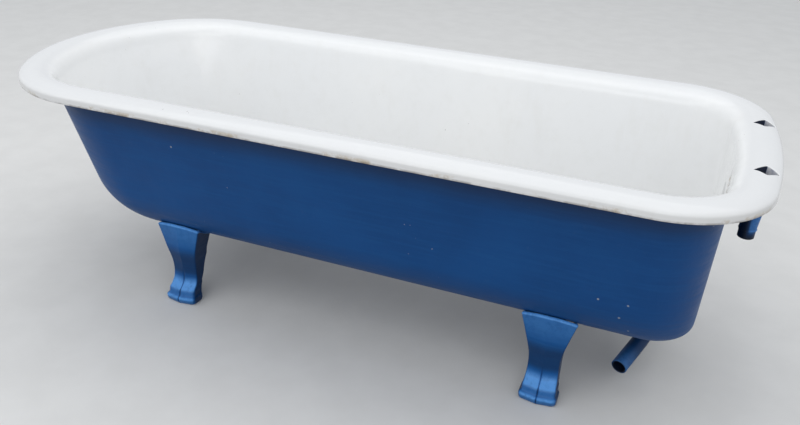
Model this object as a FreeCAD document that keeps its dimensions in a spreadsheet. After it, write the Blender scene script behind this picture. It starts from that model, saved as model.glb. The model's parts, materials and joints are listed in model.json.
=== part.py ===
import FreeCAD, Part
import math
import os
import re

import Sketcher
from FreeCAD import Placement, Rotation, Vector

# A roll top bathtub: an enamelled cast iron shell on four bolted feet.
# The frame: +X runs to the tap end, +Z is up, and the origin is on the floor below the middle.
# The near side, with the waste outlet, is at -Y.

doc = FreeCAD.newDocument("RollTopBathtub")
sheet = doc.addObject("Spreadsheet::Sheet", "Sizes")

# Driving sizes in millimetres, and angles in degrees.
DRIVING_SIZES = [
    # The shell as a whole
    ("overall_length", 1680),
    ("overall_width", 735),
    ("tub_depth", 369),
    ("body_clearance", 163),
    ("tap_end_draw_in", 6),
    # The plan of the rim's outer edge: how far apart an end's corner arcs have their middles, and
    # how far its tip stands past the arcs
    ("head_corner_spread", 169),
    ("head_bow", 27),
    ("tap_corner_spread", 357),
    ("tap_bow", 11),
    # The section through the rim
    ("roll_half_width", 33.5),
    ("roll_rise", 15.6),
    ("lip_drop", 27),
    ("wall_inset", 69.5),
    ("cove_height", 40),
    ("iron_thickness", 6),
    ("enamel_thickness", 1.5),
    # The walls, and the curves from wall to floor
    ("side_wall_angle", 6.5),
    ("head_wall_angle", 19.2),
    ("tap_wall_angle", 2),
    ("side_base_radius", 125),
    ("head_base_radius", 167),
    ("tap_base_radius", 48),
    # Tap holes: squares set cornerwise in the rim
    ("tap_hole_side", 31),
    ("tap_hole_spacing", 260),
    ("tap_pad_radius", 29),
    ("tap_pad_depth", 22),
    # Overflow: holes through the wall and the boss behind them
    ("overflow_drop", 95),
    ("overflow_hole_radius", 4.5),
    ("overflow_ring_radius", 17),
    ("overflow_boss_radius", 36),
    ("overflow_boss_depth", 7),
    # Overflow horn
    ("horn_mouth_radius", 27),
    ("horn_spout_radius", 16),
    ("horn_wall", 3.5),
    ("horn_bend_radius", 36),
    ("horn_spout_length", 18),
    ("horn_drop", 98),
    ("horn_flange_radius", 34),
    ("horn_flange_thickness", 6),
    ("horn_ear_radius", 10),
    ("horn_screw_spacing", 82),
    ("horn_screw_radius", 3),
    ("horn_screw_grip", 8),
    ("horn_screw_head_radius", 5.8),
    ("horn_screw_head_height", 4),
    ("horn_gasket_thickness", 2),
    # Waste fitting, from the bath floor downwards
    ("waste_from_end", 168),
    ("waste_hole_radius", 22.5),
    ("waste_shank_radius", 21),
    ("waste_bore_radius", 17.5),
    ("waste_shank_length", 60),
    ("waste_rim_radius", 35),
    ("waste_rim_thickness", 4),
    ("plug_seat_radius", 21),
    ("plug_seat_depth", 14),
    ("grid_bar_width", 3),
    ("grid_bar_height", 4),
    ("grid_depth", 24),
    ("seal_radius", 33),
    ("seal_thickness", 2),
    ("waste_gasket_radius", 34),
    ("waste_gasket_thickness", 3),
    ("backnut_radius", 33),
    ("backnut_height", 12),
    # Waste elbow and the nut that holds it
    ("elbow_radius", 17),
    ("elbow_wall", 3.5),
    ("elbow_collar_radius", 24),
    ("elbow_collar_height", 6),
    ("elbow_bend_radius", 34),
    ("elbow_neck", 24),
    ("elbow_tail_length", 93),
    ("elbow_fall_angle", 12),
    ("elbow_turn_angle", -109.4),
    ("union_nut_radius", 31),
    ("union_nut_height", 24),
    ("union_nut_web", 4),
    # Plug and its pull ring
    ("plug_cap_radius", 25),
    ("plug_cap_height", 5),
    ("ring_radius", 10),
    ("ring_wire_radius", 1.6),
    ("ring_pin_radius", 3),
    ("ring_pin_depth", 12),
    # Feet
    ("foot_rise", 32),
    ("foot_head_place", -374),
    ("foot_tap_place", 493),
    ("foot_top_width", 112),
    ("foot_sweep", 38),
    ("foot_ridge", 6),
    ("foot_depth", 52),
    ("foot_wall", 6.5),
    ("foot_sole", 8),
    ("foot_edge", 3),
    ("foot_top_arch", 5),
    ("foot_gap", 0.4),
    # Pads under the shell, and what bolts a foot to each
    ("pad_radius", 20),
    ("pad_drop", 5),
    ("stud_inset", 46),
    ("stud_radius", 5),
    ("stud_depth", 10),
    ("stud_end", 5),
    ("tongue_width", 46),
    ("tongue_thickness", 8),
    ("tongue_end", 20),
    ("washer_radius", 11),
    ("washer_thickness", 2),
    ("nut_radius", 9.8),
    ("nut_height", 8),
    # Clearances, the gap that sewing may close, and how far a cutting tool runs past a face
    ("thread_clearance", 0.1),
    ("bolt_clearance", 0.6),
    ("fit_clearance", 0.4),
    ("sewing_gap", 0.001),
    ("overrun", 5),
]

for row, (alias, value) in enumerate(DRIVING_SIZES, start=1):
    sheet.set("A%d" % row, alias)
    sheet.set("B%d" % row, str(value))
    sheet.setAlias("B%d" % row, alias)
doc.recompute()


def size(alias):
    return float(sheet.get(alias))


def formula(value):
    """Turn a sum of size names into an expression that reads the sheet, and a number into one."""
    return re.sub(r"\b(?!sqrt\b)[a-z][a-z_]+", lambda name: "Sizes." + name.group(0), str(value))


def bind(part, **sums):
    for name, text in sums.items():
        part.setExpression(name, formula(text))
    return part


def place(part, x="0", y="0", z="0", turn=None):
    """Turn a piece, and bind its place to the sheet."""
    if turn is not None:
        part.Placement = Placement(Vector(), turn)
    for axis, text in (("x", x), ("y", y), ("z", z)):
        part.setExpression("Placement.Base." + axis, formula(text))
    return part


def rod(name, radius, length, **where):
    part = doc.addObject("Part::Cylinder", name)
    return place(bind(part, Radius=radius, Height=length), **where)


def taper(name, low_radius, high_radius, length, **where):
    part = doc.addObject("Part::Cone", name)
    return place(bind(part, Radius1=low_radius, Radius2=high_radius, Height=length), **where)


def prism(name, sides, corner_radius, length, **where):
    part = doc.addObject("Part::Prism", name)
    part.Polygon = sides
    return place(bind(part, Circumradius=corner_radius, Height=length), **where)


def block(name, length, width, height, **where):
    part = doc.addObject("Part::Box", name)
    return place(bind(part, Length=length, Width=width, Height=height), **where)


def cut(name, base, tool):
    part = doc.addObject("Part::Cut", name)
    part.Base = base
    part.Tool = tool
    return part


def fuse(name, pieces):
    part = doc.addObject("Part::MultiFuse", name)
    part.Shapes = pieces
    return part


def group(name, pieces):
    part = doc.addObject("Part::Compound", name)
    part.Links = pieces
    return part


def shaped(name, shape):
    part = doc.addObject("Part::Feature", name)
    part.Shape = shape
    return part


def ring(name, outer, inner, height, **where):
    """A flat ring whose bore runs out of both faces."""
    body = rod(name + "_disc", outer, height, **where)
    bore = rod(name + "_bore", inner, height, **where)
    return cut(name, body, bore)


# Plan of the shell

HALF_LENGTH = size("overall_length") / 2
RIM_HEIGHT = size("body_clearance") + size("tub_depth")
SIDE_LEAN = -size("tap_end_draw_in") / HALF_LENGTH
LEAN_STRETCH = math.hypot(1, SIDE_LEAN)
# The radii of the corner arcs follow the width.
HEAD_CORNER = (size("overall_width") - size("head_corner_spread")) / 2
TAP_CORNER = (size("overall_width") - size("tap_corner_spread")) / 2
# Half the width at mid length, so that the widest place, by the head corners, is half the overall width.
HALF_WIDTH = size("overall_width") / 2 + SIDE_LEAN * (HALF_LENGTH - HEAD_CORNER)


def end_points(tip, side, corner, bow, way):
    """Where a corner arc leaves the side, its middle, and where it joins the bowed end.

    way is +1 at the tap end and -1 at the head end. bow is how far the end's tip stands
    past the corner arcs.
    """
    centre_x = tip - way * (corner + bow)
    centre_y = side + SIDE_LEAN * centre_x - corner * LEAN_STRETCH
    end_radius = corner + (bow ** 2 + centre_y ** 2) / (2 * bow)
    end_centre = tip - way * end_radius
    join_angle = math.atan2(centre_y, way * (centre_x - end_centre))
    side_angle = math.atan2(1, -SIDE_LEAN * way)
    points = []
    for angle in (side_angle, (side_angle + join_angle) / 2, join_angle):
        x = centre_x + way * corner * math.cos(angle)
        points.append((x, centre_y + corner * math.sin(angle)))
    return points


def plan_loop(height, side, head_tip, tap_tip, head_corner, tap_corner, head_bow, tap_bow):
    """One level loop of the shell: two sides, two bowed ends and four corner arcs."""
    tap = end_points(tap_tip, side, tap_corner, tap_bow, 1)
    head = end_points(head_tip, side, head_corner, head_bow, -1)

    def far(point):
        return Vector(point[0], point[1], height)

    def near(point):
        return Vector(point[0], -point[1], height)

    curves = [
        Part.LineSegment(far(head[0]), far(tap[0])),
        Part.Arc(far(tap[0]), far(tap[1]), far(tap[2])),
        Part.Arc(far(tap[2]), Vector(tap_tip, 0, height), near(tap[2])),
        Part.Arc(near(tap[2]), near(tap[1]), near(tap[0])),
        Part.LineSegment(near(tap[0]), near(head[0])),
        Part.Arc(near(head[0]), near(head[1]), near(head[2])),
        Part.Arc(near(head[2]), Vector(head_tip, 0, height), far(head[2])),
        Part.Arc(far(head[2]), far(head[1]), far(head[0])),
    ]
    return Part.Wire([curve.toShape() for curve in curves])


def rim_loop(inset, drop):
    """A loop at one inset from the rim's outer edge all round, drop below the rim's top."""
    return plan_loop(
        RIM_HEIGHT - drop,
        HALF_WIDTH - inset,
        -HALF_LENGTH + inset,
        HALF_LENGTH - inset,
        HEAD_CORNER - inset,
        TAP_CORNER - inset,
        size("head_bow"),
        size("tap_bow"),
    )


# Walls: each surface is the outer iron surface moved inwards by a thickness

WALL_TOP = RIM_HEIGHT - size("cove_height")


def wall_reach(height, top_reach, angle_name, radius_name, inward):
    """How far the wall stands from the middle at a height, by its slope and its base curve."""
    angle = math.radians(size(angle_name))
    radius = size(radius_name) - inward
    floor = size("body_clearance") + inward
    top = top_reach - size("wall_inset") - inward
    tangent_height = floor + radius * (1 - math.sin(angle))
    if height >= tangent_height:
        return top - (WALL_TOP - height) * math.tan(angle)
    centre = top - (WALL_TOP - tangent_height) * math.tan(angle) - radius * math.cos(angle)
    above = floor + radius - height
    return centre + math.sqrt(max(radius ** 2 - above ** 2, 0))


def wall_loop(height, inward):
    side = wall_reach(height, HALF_WIDTH, "side_wall_angle", "side_base_radius", inward)
    head = wall_reach(height, HALF_LENGTH, "head_wall_angle", "head_base_radius", inward)
    tap = wall_reach(height, HALF_LENGTH, "tap_wall_angle", "tap_base_radius", inward)
    # The corners draw in with the width, so the plan keeps its shape down to the floor.
    inset = size("wall_inset")
    narrowing = side / (HALF_WIDTH - inset)
    return plan_loop(
        height,
        side,
        -head,
        tap,
        (HEAD_CORNER - inset) * narrowing,
        (TAP_CORNER - inset) * narrowing,
        size("head_bow") * narrowing ** 2,
        size("tap_bow") * narrowing ** 2,
    )


BASE_CURVE_STEPS = 10
COVE_ANGLES = (25, 38, 51, 64, 77, 90)
ROLL_ANGLES = (90, 112.5, 135, 157.5, 180)
# How far down the straight wall the cove's loft starts, as a share of the cove's height
STRAIGHT_SHARE = 0.25


def base_loops(inward):
    """Loops from the edge of the flat floor up to the foot of the straight wall."""
    radius = size("side_base_radius") - inward
    floor = size("body_clearance") + inward
    whole_turn = 90 - size("side_wall_angle")
    loops = []
    for step in range(BASE_CURVE_STEPS + 1):
        turn = math.radians(whole_turn * step / BASE_CURVE_STEPS)
        height = floor + radius * (1 - math.cos(turn))
        loops.append(wall_loop(height, inward))
    return loops


def elliptic_loops(inward, wide, high, angles):
    """Rim loops on a quarter ellipse about the roll's middle line, from the outermost surface's
    half axes, with the section thinned to the surface that lies inward of the iron's outside."""
    deeper = size("iron_thickness") + size("enamel_thickness") - inward
    loops = []
    for angle in angles:
        turn = math.radians(angle)
        inset = size("roll_half_width") + (wide - deeper) * math.cos(turn)
        rise = (high - deeper) * math.sin(turn)
        loops.append(rim_loop(inset, high - rise))
    return loops


def cove_loops(inward):
    """Loops from the top of the straight wall through the cove to the crown of the roll."""
    whole = size("iron_thickness") + size("enamel_thickness")
    wide = size("wall_inset") + whole - size("roll_half_width")
    straight = wall_loop(WALL_TOP - size("cove_height") * STRAIGHT_SHARE, inward)
    return [straight] + elliptic_loops(inward, wide, size("cove_height"), COVE_ANGLES)


def roll_loops(inward):
    """Loops from the crown of the roll out to where the lip turns down."""
    return elliptic_loops(inward, size("roll_half_width"), size("roll_rise"), ROLL_ANGLES)


def surface(inward):
    """Faces of one surface of the shell, and its loop at the lip's lower edge."""
    base = base_loops(inward)
    cove = cove_loops(inward)
    roll = roll_loops(inward)
    whole = size("iron_thickness") + size("enamel_thickness")
    lip = rim_loop(whole - inward, size("lip_drop"))
    faces = [Part.Face(base[0])]
    for loops in (base, cove, roll):
        faces += Part.makeLoft(loops, False, False).Faces
    for loops in ([base[-1], cove[0]], [roll[-1], lip]):
        faces += Part.makeLoft(loops, False, True).Faces
    return faces, lip


def closed_solid(faces):
    """Sew faces into one closed skin whose faces all look outwards, and fill it."""
    skin = Part.Compound(faces)
    skin.sewShape()
    solid = Part.Solid(skin.Shells[0])
    solid.fix(size("sewing_gap"), size("sewing_gap"), size("sewing_gap"))
    return solid


def shell_between(outer, inner):
    """The solid between two surfaces that share the level of the lip's lower edge."""
    outer_faces, outer_lip = outer
    inner_faces, inner_lip = inner
    lip_edge = Part.Face(outer_lip).cut(Part.Face(inner_lip))
    return closed_solid(outer_faces + inner_faces + lip_edge.Faces)


def filled_rim(inward):
    """All that the rim's surface, moved inwards by inward, covers down to the lip's lower edge."""
    cove = cove_loops(inward)
    roll = roll_loops(inward)
    lip = rim_loop(size("iron_thickness") + size("enamel_thickness") - inward, size("lip_drop"))
    faces = Part.makeLoft(cove, False, False).Faces + Part.makeLoft(roll, False, False).Faces
    for loops in ([roll[-1], lip], [lip, cove[0]]):
        faces += Part.makeLoft(loops, False, True).Faces
    return closed_solid(faces)


def filled_body(inward):
    """The body below the rim as one filled solid, its surface moved inwards by inward."""
    base = base_loops(inward)
    top = wall_loop(WALL_TOP, inward)
    faces = Part.makeLoft(base, False, False).Faces
    faces += Part.makeLoft([base[-1], top], False, True).Faces
    return closed_solid(faces + [Part.Face(base[0]), Part.Face(top)])


iron_side = surface(0)
bond = surface(size("iron_thickness"))
bath_side = surface(size("iron_thickness") + size("enamel_thickness"))
iron_shell = shaped("iron_shell", shell_between(bond, iron_side))
enamel_shell = shaped("enamel_shell", shell_between(bath_side, bond))

# Holes through the shell

RIM_TOP = "body_clearance + tub_depth"
BATH_FLOOR = "body_clearance + iron_thickness + enamel_thickness"
WASTE_X = "overall_length / 2 - waste_from_end"
ALONG_X = Rotation(Vector(0, 1, 0), 90)

tap_holes = []
tap_pads = []
for name, side in (("near", "-"), ("far", "")):
    centre = {
        "x": "overall_length / 2 - roll_half_width",
        "y": side + "tap_hole_spacing / 2",
    }
    hole = prism(
        "tap_hole_" + name,
        4,
        "tap_hole_side / sqrt(2)",
        "tap_pad_depth + overrun * 2",
        z=RIM_TOP + " - tap_pad_depth - overrun",
        **centre,
    )
    tap_holes.append(hole)
    pad = rod("tap_pad_" + name, "tap_pad_radius", "tap_pad_depth", z=RIM_TOP + " - tap_pad_depth", **centre)
    tap_pads.append(pad)

waste_hole = rod(
    "waste_hole",
    "waste_hole_radius",
    "iron_thickness + enamel_thickness + overrun * 2",
    x=WASTE_X,
    z="body_clearance - overrun",
)

OVERFLOW_HEIGHT = RIM_HEIGHT - size("overflow_drop")
OVERFLOW_WALL = wall_reach(OVERFLOW_HEIGHT, HALF_LENGTH, "tap_wall_angle", "tap_base_radius", 0)
BOSS_FACE = OVERFLOW_WALL + size("overflow_boss_depth")
OVERFLOW_START = OVERFLOW_WALL - size("overflow_boss_radius")
RING_HOLES = 6

overflow_holes = []
for number in range(RING_HOLES + 1):
    turn = 2 * math.pi * number / RING_HOLES
    # The last hole is the one in the middle of the ring.
    ring_share = 0 if number == RING_HOLES else 1
    hole = rod(
        "overflow_hole_%d" % number,
        "overflow_hole_radius",
        BOSS_FACE - OVERFLOW_START + size("overrun"),
        x=OVERFLOW_START,
        y=size("overflow_ring_radius") * ring_share * math.sin(turn),
        z=OVERFLOW_HEIGHT + size("overflow_ring_radius") * ring_share * math.cos(turn),
        turn=ALONG_X,
    )
    overflow_holes.append(hole)

# Pads and bosses on the outside of the iron. They are cut off half way through its thickness.

pad_limit = shaped("pad_limit", filled_body(size("iron_thickness") / 2))
rim_limit = shaped("rim_limit", filled_rim(size("iron_thickness") / 2))

FOOT_TOP = size("body_clearance") + size("foot_rise")
FOOT_SIDE = wall_reach(FOOT_TOP, HALF_WIDTH, "side_wall_angle", "side_base_radius", 0)
FOOT_PLACES = []
STUD_PLACES = []
for end in ("head", "tap"):
    along = size("foot_" + end + "_place")
    out = FOOT_SIDE + SIDE_LEAN * along
    stud_out = out - size("stud_inset")
    FOOT_PLACES.append(("near_" + end, along, -out, 0))
    FOOT_PLACES.append(("far_" + end, along, out, 180))
    STUD_PLACES.append(("near_" + end, along, -stud_out))
    STUD_PLACES.append(("far_" + end, along, stud_out))

outside_lumps = []
stud_holes = []
for name, x, y in STUD_PLACES:
    pad = rod("pad_" + name, "pad_radius", "pad_drop + foot_rise", x=x, y=y, z="body_clearance - pad_drop")
    outside_lumps.append(pad)
    hole = rod(
        "stud_hole_" + name,
        "stud_radius + thread_clearance",
        "stud_depth + fit_clearance + overrun",
        x=x,
        y=y,
        z="body_clearance - pad_drop - overrun",
    )
    stud_holes.append(hole)

BOSS_LENGTH = BOSS_FACE - OVERFLOW_START
boss = rod(
    "overflow_boss",
    "overflow_boss_radius",
    BOSS_LENGTH,
    x=OVERFLOW_START,
    z=OVERFLOW_HEIGHT,
    turn=ALONG_X,
)
outside_lumps.append(boss)
screw_holes = []
for name, side in (("near", "-"), ("far", "")):
    ear_y = side + "horn_screw_spacing / 2"
    ear_boss = rod(
        "ear_boss_" + name,
        "horn_ear_radius",
        BOSS_LENGTH,
        x=OVERFLOW_START,
        y=ear_y,
        z=OVERFLOW_HEIGHT,
        turn=ALONG_X,
    )
    outside_lumps.append(ear_boss)
    hole = rod(
        "screw_hole_" + name,
        "horn_screw_radius + thread_clearance",
        "horn_screw_grip + fit_clearance + overrun",
        x=BOSS_FACE - size("horn_screw_grip") - size("fit_clearance"),
        y=ear_y,
        z=OVERFLOW_HEIGHT,
        turn=ALONG_X,
    )
    screw_holes.append(hole)

lumps = cut("outside_lumps", fuse("whole_lumps", outside_lumps), pad_limit)
through_holes = fuse("through_holes", tap_holes + [waste_hole] + overflow_holes)
blind_holes = fuse("blind_holes", stud_holes + screw_holes)
rim_lumps = doc.addObject("Part::Common", "rim_lumps")
rim_lumps.Base = fuse("whole_tap_pads", tap_pads)
rim_lumps.Tool = rim_limit
tub_with_lumps = fuse("tub_with_lumps", [iron_shell, lumps, rim_lumps])
tub_casting = cut("tub_casting", tub_with_lumps, fuse("casting_holes", [through_holes, blind_holes]))
enamel_lining = cut("enamel_lining", enamel_shell, through_holes)

# Feet: hollow castings with a rounded knee, a narrow ankle and a long toe, each with a tongue
# under its pad. A foot's own frame has the floor at 0, the shell's side at the foot's top at 0,
# and -Y outwards.

# Stations up a foot: its height as a share of the top's, its width as a share of the top
# width, how far its front stands out as a share of the sweep, how much of a ridge it has, and
# how deep its sides are as a share of the depth at the top.
SHANK_SHARES = (
    (0.185, 0.620, 0.60, 1.00, 0.56),
    (0.280, 0.580, 0.23, 1.00, 0.42),
    (0.375, 0.572, 0.17, 1.00, 0.47),
    (0.470, 0.580, 0.19, 1.00, 0.60),
    (0.565, 0.620, 0.26, 1.00, 0.77),
    (0.660, 0.685, 0.34, 0.95, 0.93),
    (0.755, 0.765, 0.36, 0.90, 1.00),
    (0.850, 0.855, 0.31, 0.80, 1.00),
    (0.945, 0.950, 0.24, 0.65, 1.00),
    (1.040, 1.045, 0.17, 0.50, 1.00),
)
TOE_SHARES = (
    (0.000, 0.745, 0.86, 1.0, 0.56),
    (0.035, 0.765, 0.97, 1.0, 0.67),
    (0.085, 0.760, 1.00, 1.0, 0.71),
    (0.110, 0.695, 0.80, 1.0, 0.62),
    (0.160, 0.680, 0.74, 1.0, 0.62),
    (0.185, 0.620, 0.60, 1.0, 0.56),
)
# How far out a foot's tongue starts, and the gusset under it, as shares of the sweep
TONGUE_START_SHARE = 0.2
GUSSET_START_SHARE = 0.1
GUSSET_FOOT_SHARE = 0.5


def foot_section(height, width, depth, front, ridge):
    """A level section of a foot: two front faces that meet in a ridge, two sides and a back."""
    half = width / 2
    edge = size("foot_edge")
    side = front + ridge
    corners = [
        (-half, side + depth),
        (-half, side + edge),
        (edge - half, side),
        (0, front),
        (half - edge, side),
        (half, side + edge),
        (half, side + depth),
    ]
    points = [Vector(x, y, height) for x, y in corners]
    return Part.makePolygon(points + points[:1])


def foot_sections(shares, wall):
    """Sections at the stations, drawn in by a wall all round but at the back."""
    sections = []
    for height_share, width_share, sweep_share, ridge_share, depth_share in shares:
        section = foot_section(
            FOOT_TOP * height_share,
            size("foot_top_width") * width_share - 2 * wall,
            size("foot_depth") * depth_share,
            wall - size("foot_sweep") * sweep_share,
            size("foot_ridge") * ridge_share,
        )
        sections.append(section)
    return sections


def foot_body():
    """The foot before it is cut to its place under the shell."""
    wall = size("foot_wall")
    shank = Part.makeLoft(foot_sections(SHANK_SHARES, 0), True, False)
    toe = Part.makeLoft(foot_sections(TOE_SHARES, 0), True, True)
    hollow = Part.makeLoft(foot_sections(SHANK_SHARES, wall), True, False)
    hollow_base = hollow.Faces[0]
    for face in hollow.Faces:
        if face.CenterOfMass.z < hollow_base.CenterOfMass.z:
            hollow_base = face
    well_depth = hollow_base.CenterOfMass.z - size("foot_sole")
    well = hollow_base.extrude(Vector(0, 0, -well_depth))
    # The round top of the front, higher in the middle than at its corners.
    arch = size("foot_top_arch")
    arch_radius = (size("foot_top_width") ** 2 / 4 + arch ** 2) / (2 * arch)
    reach = size("foot_depth") * 2
    arch_middle = Vector(0, -reach, FOOT_TOP + arch - arch_radius)
    crown = Part.makeCylinder(arch_radius, reach * 2, arch_middle, Vector(0, 1, 0))
    return shank.fuse(toe).cut(hollow).cut(well).common(crown)


def foot_tongue():
    """The tongue that the stud goes through, with a gusset under it."""
    top = size("body_clearance") - size("pad_drop")
    low = top - size("tongue_thickness")
    start = -size("foot_sweep") * TONGUE_START_SHARE
    reach = size("stud_inset") + size("tongue_end") - start
    tongue = Part.makeBox(size("tongue_width"), reach, size("tongue_thickness"))
    tongue.translate(Vector(-size("tongue_width") / 2, start, low))
    wall = size("foot_wall")
    gusset_end = size("stud_inset") - size("washer_radius") - size("fit_clearance")
    gusset_start = -size("foot_sweep") * GUSSET_START_SHARE
    corners = [
        Vector(-wall / 2, gusset_start, low * GUSSET_FOOT_SHARE),
        Vector(-wall / 2, start, low),
        Vector(-wall / 2, gusset_end, low),
    ]
    gusset = Part.Face(Part.makePolygon(corners + corners[:1])).extrude(Vector(wall, 0, 0))
    hole_middle = Vector(0, size("stud_inset"), low - size("overrun"))
    hole_length = size("tongue_thickness") + 2 * size("overrun")
    hole = Part.makeCylinder(size("stud_radius") + size("bolt_clearance"), hole_length, hole_middle)
    return tongue.fuse(gusset).cut(hole)


saddle_form = filled_body(-size("foot_gap"))
feet = []
for name, along, out, turn in FOOT_PLACES:
    stand = Placement(Vector(along, out, 0), Rotation(Vector(0, 0, 1), turn))
    form = saddle_form.copy()
    form.Placement = stand.inverse()
    foot_shape = foot_body().cut(form).fuse(foot_tongue())
    foot = shaped("foot_" + name, foot_shape)
    foot.Placement = stand
    feet.append(foot)

# What bolts the feet on: a stud in each pad, with a washer and a nut under the tongue

studs = []
washers = []
nuts = []
PAD_FACE = "body_clearance - pad_drop"
TONGUE_FACE = PAD_FACE + " - tongue_thickness"
for name, x, y in STUD_PLACES:
    stud = rod(
        "stud_" + name,
        "stud_radius",
        "stud_depth + tongue_thickness + washer_thickness + nut_height + stud_end",
        x=x,
        y=y,
        z=TONGUE_FACE + " - washer_thickness - nut_height - stud_end",
    )
    studs.append(stud)
    washer = ring(
        "washer_" + name,
        "washer_radius",
        "stud_radius + bolt_clearance",
        "washer_thickness",
        x=x,
        y=y,
        z=TONGUE_FACE + " - washer_thickness",
    )
    washers.append(washer)
    nut_body = prism(
        "nut_body_" + name,
        6,
        "nut_radius",
        "nut_height",
        x=x,
        y=y,
        z=TONGUE_FACE + " - washer_thickness - nut_height",
    )
    nut_bore = rod(
        "nut_bore_" + name,
        "stud_radius + thread_clearance",
        "nut_height",
        x=x,
        y=y,
        z=TONGUE_FACE + " - washer_thickness - nut_height",
    )
    nuts.append(cut("nut_" + name, nut_body, nut_bore))
foot_studs = group("foot_studs", studs)
foot_washers = group("foot_washers", washers)
foot_nuts = group("foot_nuts", nuts)

# Waste fitting. Heights count down from the top of the seal that lies on the bath floor.

SEAL_TOP = BATH_FLOOR + " + seal_thickness"
SHANK_END = SEAL_TOP + " - waste_shank_length"

waste_rim = taper(
    "waste_rim",
    "waste_rim_radius",
    "waste_rim_radius - waste_rim_thickness",
    "waste_rim_thickness",
    x=WASTE_X,
    z=SEAL_TOP,
)
waste_shank = rod("waste_shank", "waste_shank_radius", "waste_shank_length", x=WASTE_X, z=SHANK_END)
waste_bore = rod(
    "waste_bore",
    "waste_bore_radius",
    "waste_shank_length + waste_rim_thickness",
    x=WASTE_X,
    z=SHANK_END,
)
plug_seat = taper(
    "plug_seat",
    "waste_bore_radius",
    "plug_seat_radius",
    "plug_seat_depth",
    x=WASTE_X,
    z=SEAL_TOP + " + waste_rim_thickness - plug_seat_depth",
)
waste_blank = fuse("waste_blank", [waste_rim, waste_shank])
waste_body = cut("waste_body", waste_blank, fuse("waste_cuts", [waste_bore, plug_seat]))
GRID_LOW = SEAL_TOP + " - grid_depth"
grid_along = block(
    "grid_along",
    "waste_bore_radius * 2 + fit_clearance * 2",
    "grid_bar_width",
    "grid_bar_height",
    x=WASTE_X + " - waste_bore_radius - fit_clearance",
    y="-grid_bar_width / 2",
    z=GRID_LOW,
)
grid_across = block(
    "grid_across",
    "grid_bar_width",
    "waste_bore_radius * 2 + fit_clearance * 2",
    "grid_bar_height",
    x=WASTE_X + " - grid_bar_width / 2",
    y="-waste_bore_radius - fit_clearance",
    z=GRID_LOW,
)
waste_flange = fuse("waste_flange", [waste_body, grid_along, grid_across])
waste_seal = ring(
    "waste_seal",
    "seal_radius",
    "waste_shank_radius + fit_clearance",
    "seal_thickness",
    x=WASTE_X,
    z=BATH_FLOOR,
)
waste_gasket = ring(
    "waste_gasket",
    "waste_gasket_radius",
    "waste_shank_radius + fit_clearance",
    "waste_gasket_thickness",
    x=WASTE_X,
    z="body_clearance - waste_gasket_thickness",
)
BACKNUT_LOW = "body_clearance - waste_gasket_thickness - backnut_height"
backnut_body = prism("backnut_body", 6, "backnut_radius", "backnut_height", x=WASTE_X, z=BACKNUT_LOW)
backnut_bore = rod(
    "backnut_bore",
    "waste_shank_radius + thread_clearance",
    "backnut_height",
    x=WASTE_X,
    z=BACKNUT_LOW,
)
waste_backnut = cut("waste_backnut", backnut_body, backnut_bore)

# Waste elbow: a tube along a sketched path, with a collar that the union nut draws up


def origin_plane(body, role):
    for feature in body.Origin.OriginFeatures:
        if feature.Role == role:
            return feature
    raise ValueError("no plane " + role)


def sketch_on(body, name, role):
    sketch = body.newObject("Sketcher::SketchObject", name)
    sketch.AttachmentSupport = (origin_plane(body, role), [""])
    sketch.MapMode = "FlatFace"
    return sketch


def hold(sketch, name, text, kind, *where):
    """Add a dimension to a sketch and bind it to the sheet."""
    index = sketch.addConstraint(Sketcher.Constraint(kind, *where))
    sketch.renameConstraint(index, name)
    sketch.setExpression("Constraints." + name, formula(text))


def circle_sketch(body, name, radius_text, radius):
    sketch = sketch_on(body, name, "XY_Plane")
    sketch.addGeometry(Part.Circle(Vector(), Vector(0, 0, 1), radius), False)
    sketch.addConstraint(Sketcher.Constraint("Coincident", 0, 3, -1, 1))
    hold(sketch, "radius", radius_text, "Radius", 0, radius)
    return sketch


neck = size("elbow_neck")
bend = size("elbow_bend_radius")
fall = math.radians(size("elbow_fall_angle"))
tail = size("elbow_tail_length")
waste_elbow = doc.addObject("PartDesign::Body", "waste_elbow")
path = sketch_on(waste_elbow, "elbow_path", "XZ_Plane")
bend_middle = Vector(bend, -neck, 0)
bend_end = bend_middle + Vector(-bend * math.sin(fall), -bend * math.cos(fall), 0)
tail_end = bend_end + Vector(tail * math.cos(fall), -tail * math.sin(fall), 0)
bend_circle = Part.Circle(bend_middle, Vector(0, 0, 1), bend)
path.addGeometry(Part.LineSegment(Vector(), Vector(0, -neck, 0)), False)
path.addGeometry(Part.ArcOfCircle(bend_circle, math.pi, 3 * math.pi / 2 - fall), False)
path.addGeometry(Part.LineSegment(bend_end, tail_end), False)
path.addConstraint(Sketcher.Constraint("Coincident", 0, 1, -1, 1))
path.addConstraint(Sketcher.Constraint("Vertical", 0))
path.addConstraint(Sketcher.Constraint("Tangent", 0, 2, 1, 1))
path.addConstraint(Sketcher.Constraint("Tangent", 1, 2, 2, 1))
hold(path, "neck", "elbow_neck", "DistanceY", 0, 2, 0, 1, neck)
hold(path, "bend", "elbow_bend_radius", "Radius", 1, bend)
hold(path, "tail", "elbow_tail_length", "Distance", 2, tail)
hold(path, "fall", "-elbow_fall_angle", "Angle", 2, -fall)
tube_outside = circle_sketch(waste_elbow, "tube_outside", "elbow_radius", size("elbow_radius"))
bore_radius = size("elbow_radius") - size("elbow_wall")
tube_inside = circle_sketch(waste_elbow, "tube_inside", "elbow_radius - elbow_wall", bore_radius)
collar_edge = circle_sketch(waste_elbow, "collar_edge", "elbow_collar_radius", size("elbow_collar_radius"))
collar = waste_elbow.newObject("PartDesign::Pad", "elbow_collar")
collar.Profile = collar_edge
collar.Reversed = True
collar.setExpression("Length", formula("elbow_collar_height"))
tube = waste_elbow.newObject("PartDesign::AdditivePipe", "elbow_tube")
tube.Profile = tube_outside
tube.Spine = (path, ["Edge1", "Edge2", "Edge3"])
doc.recompute()
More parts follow.
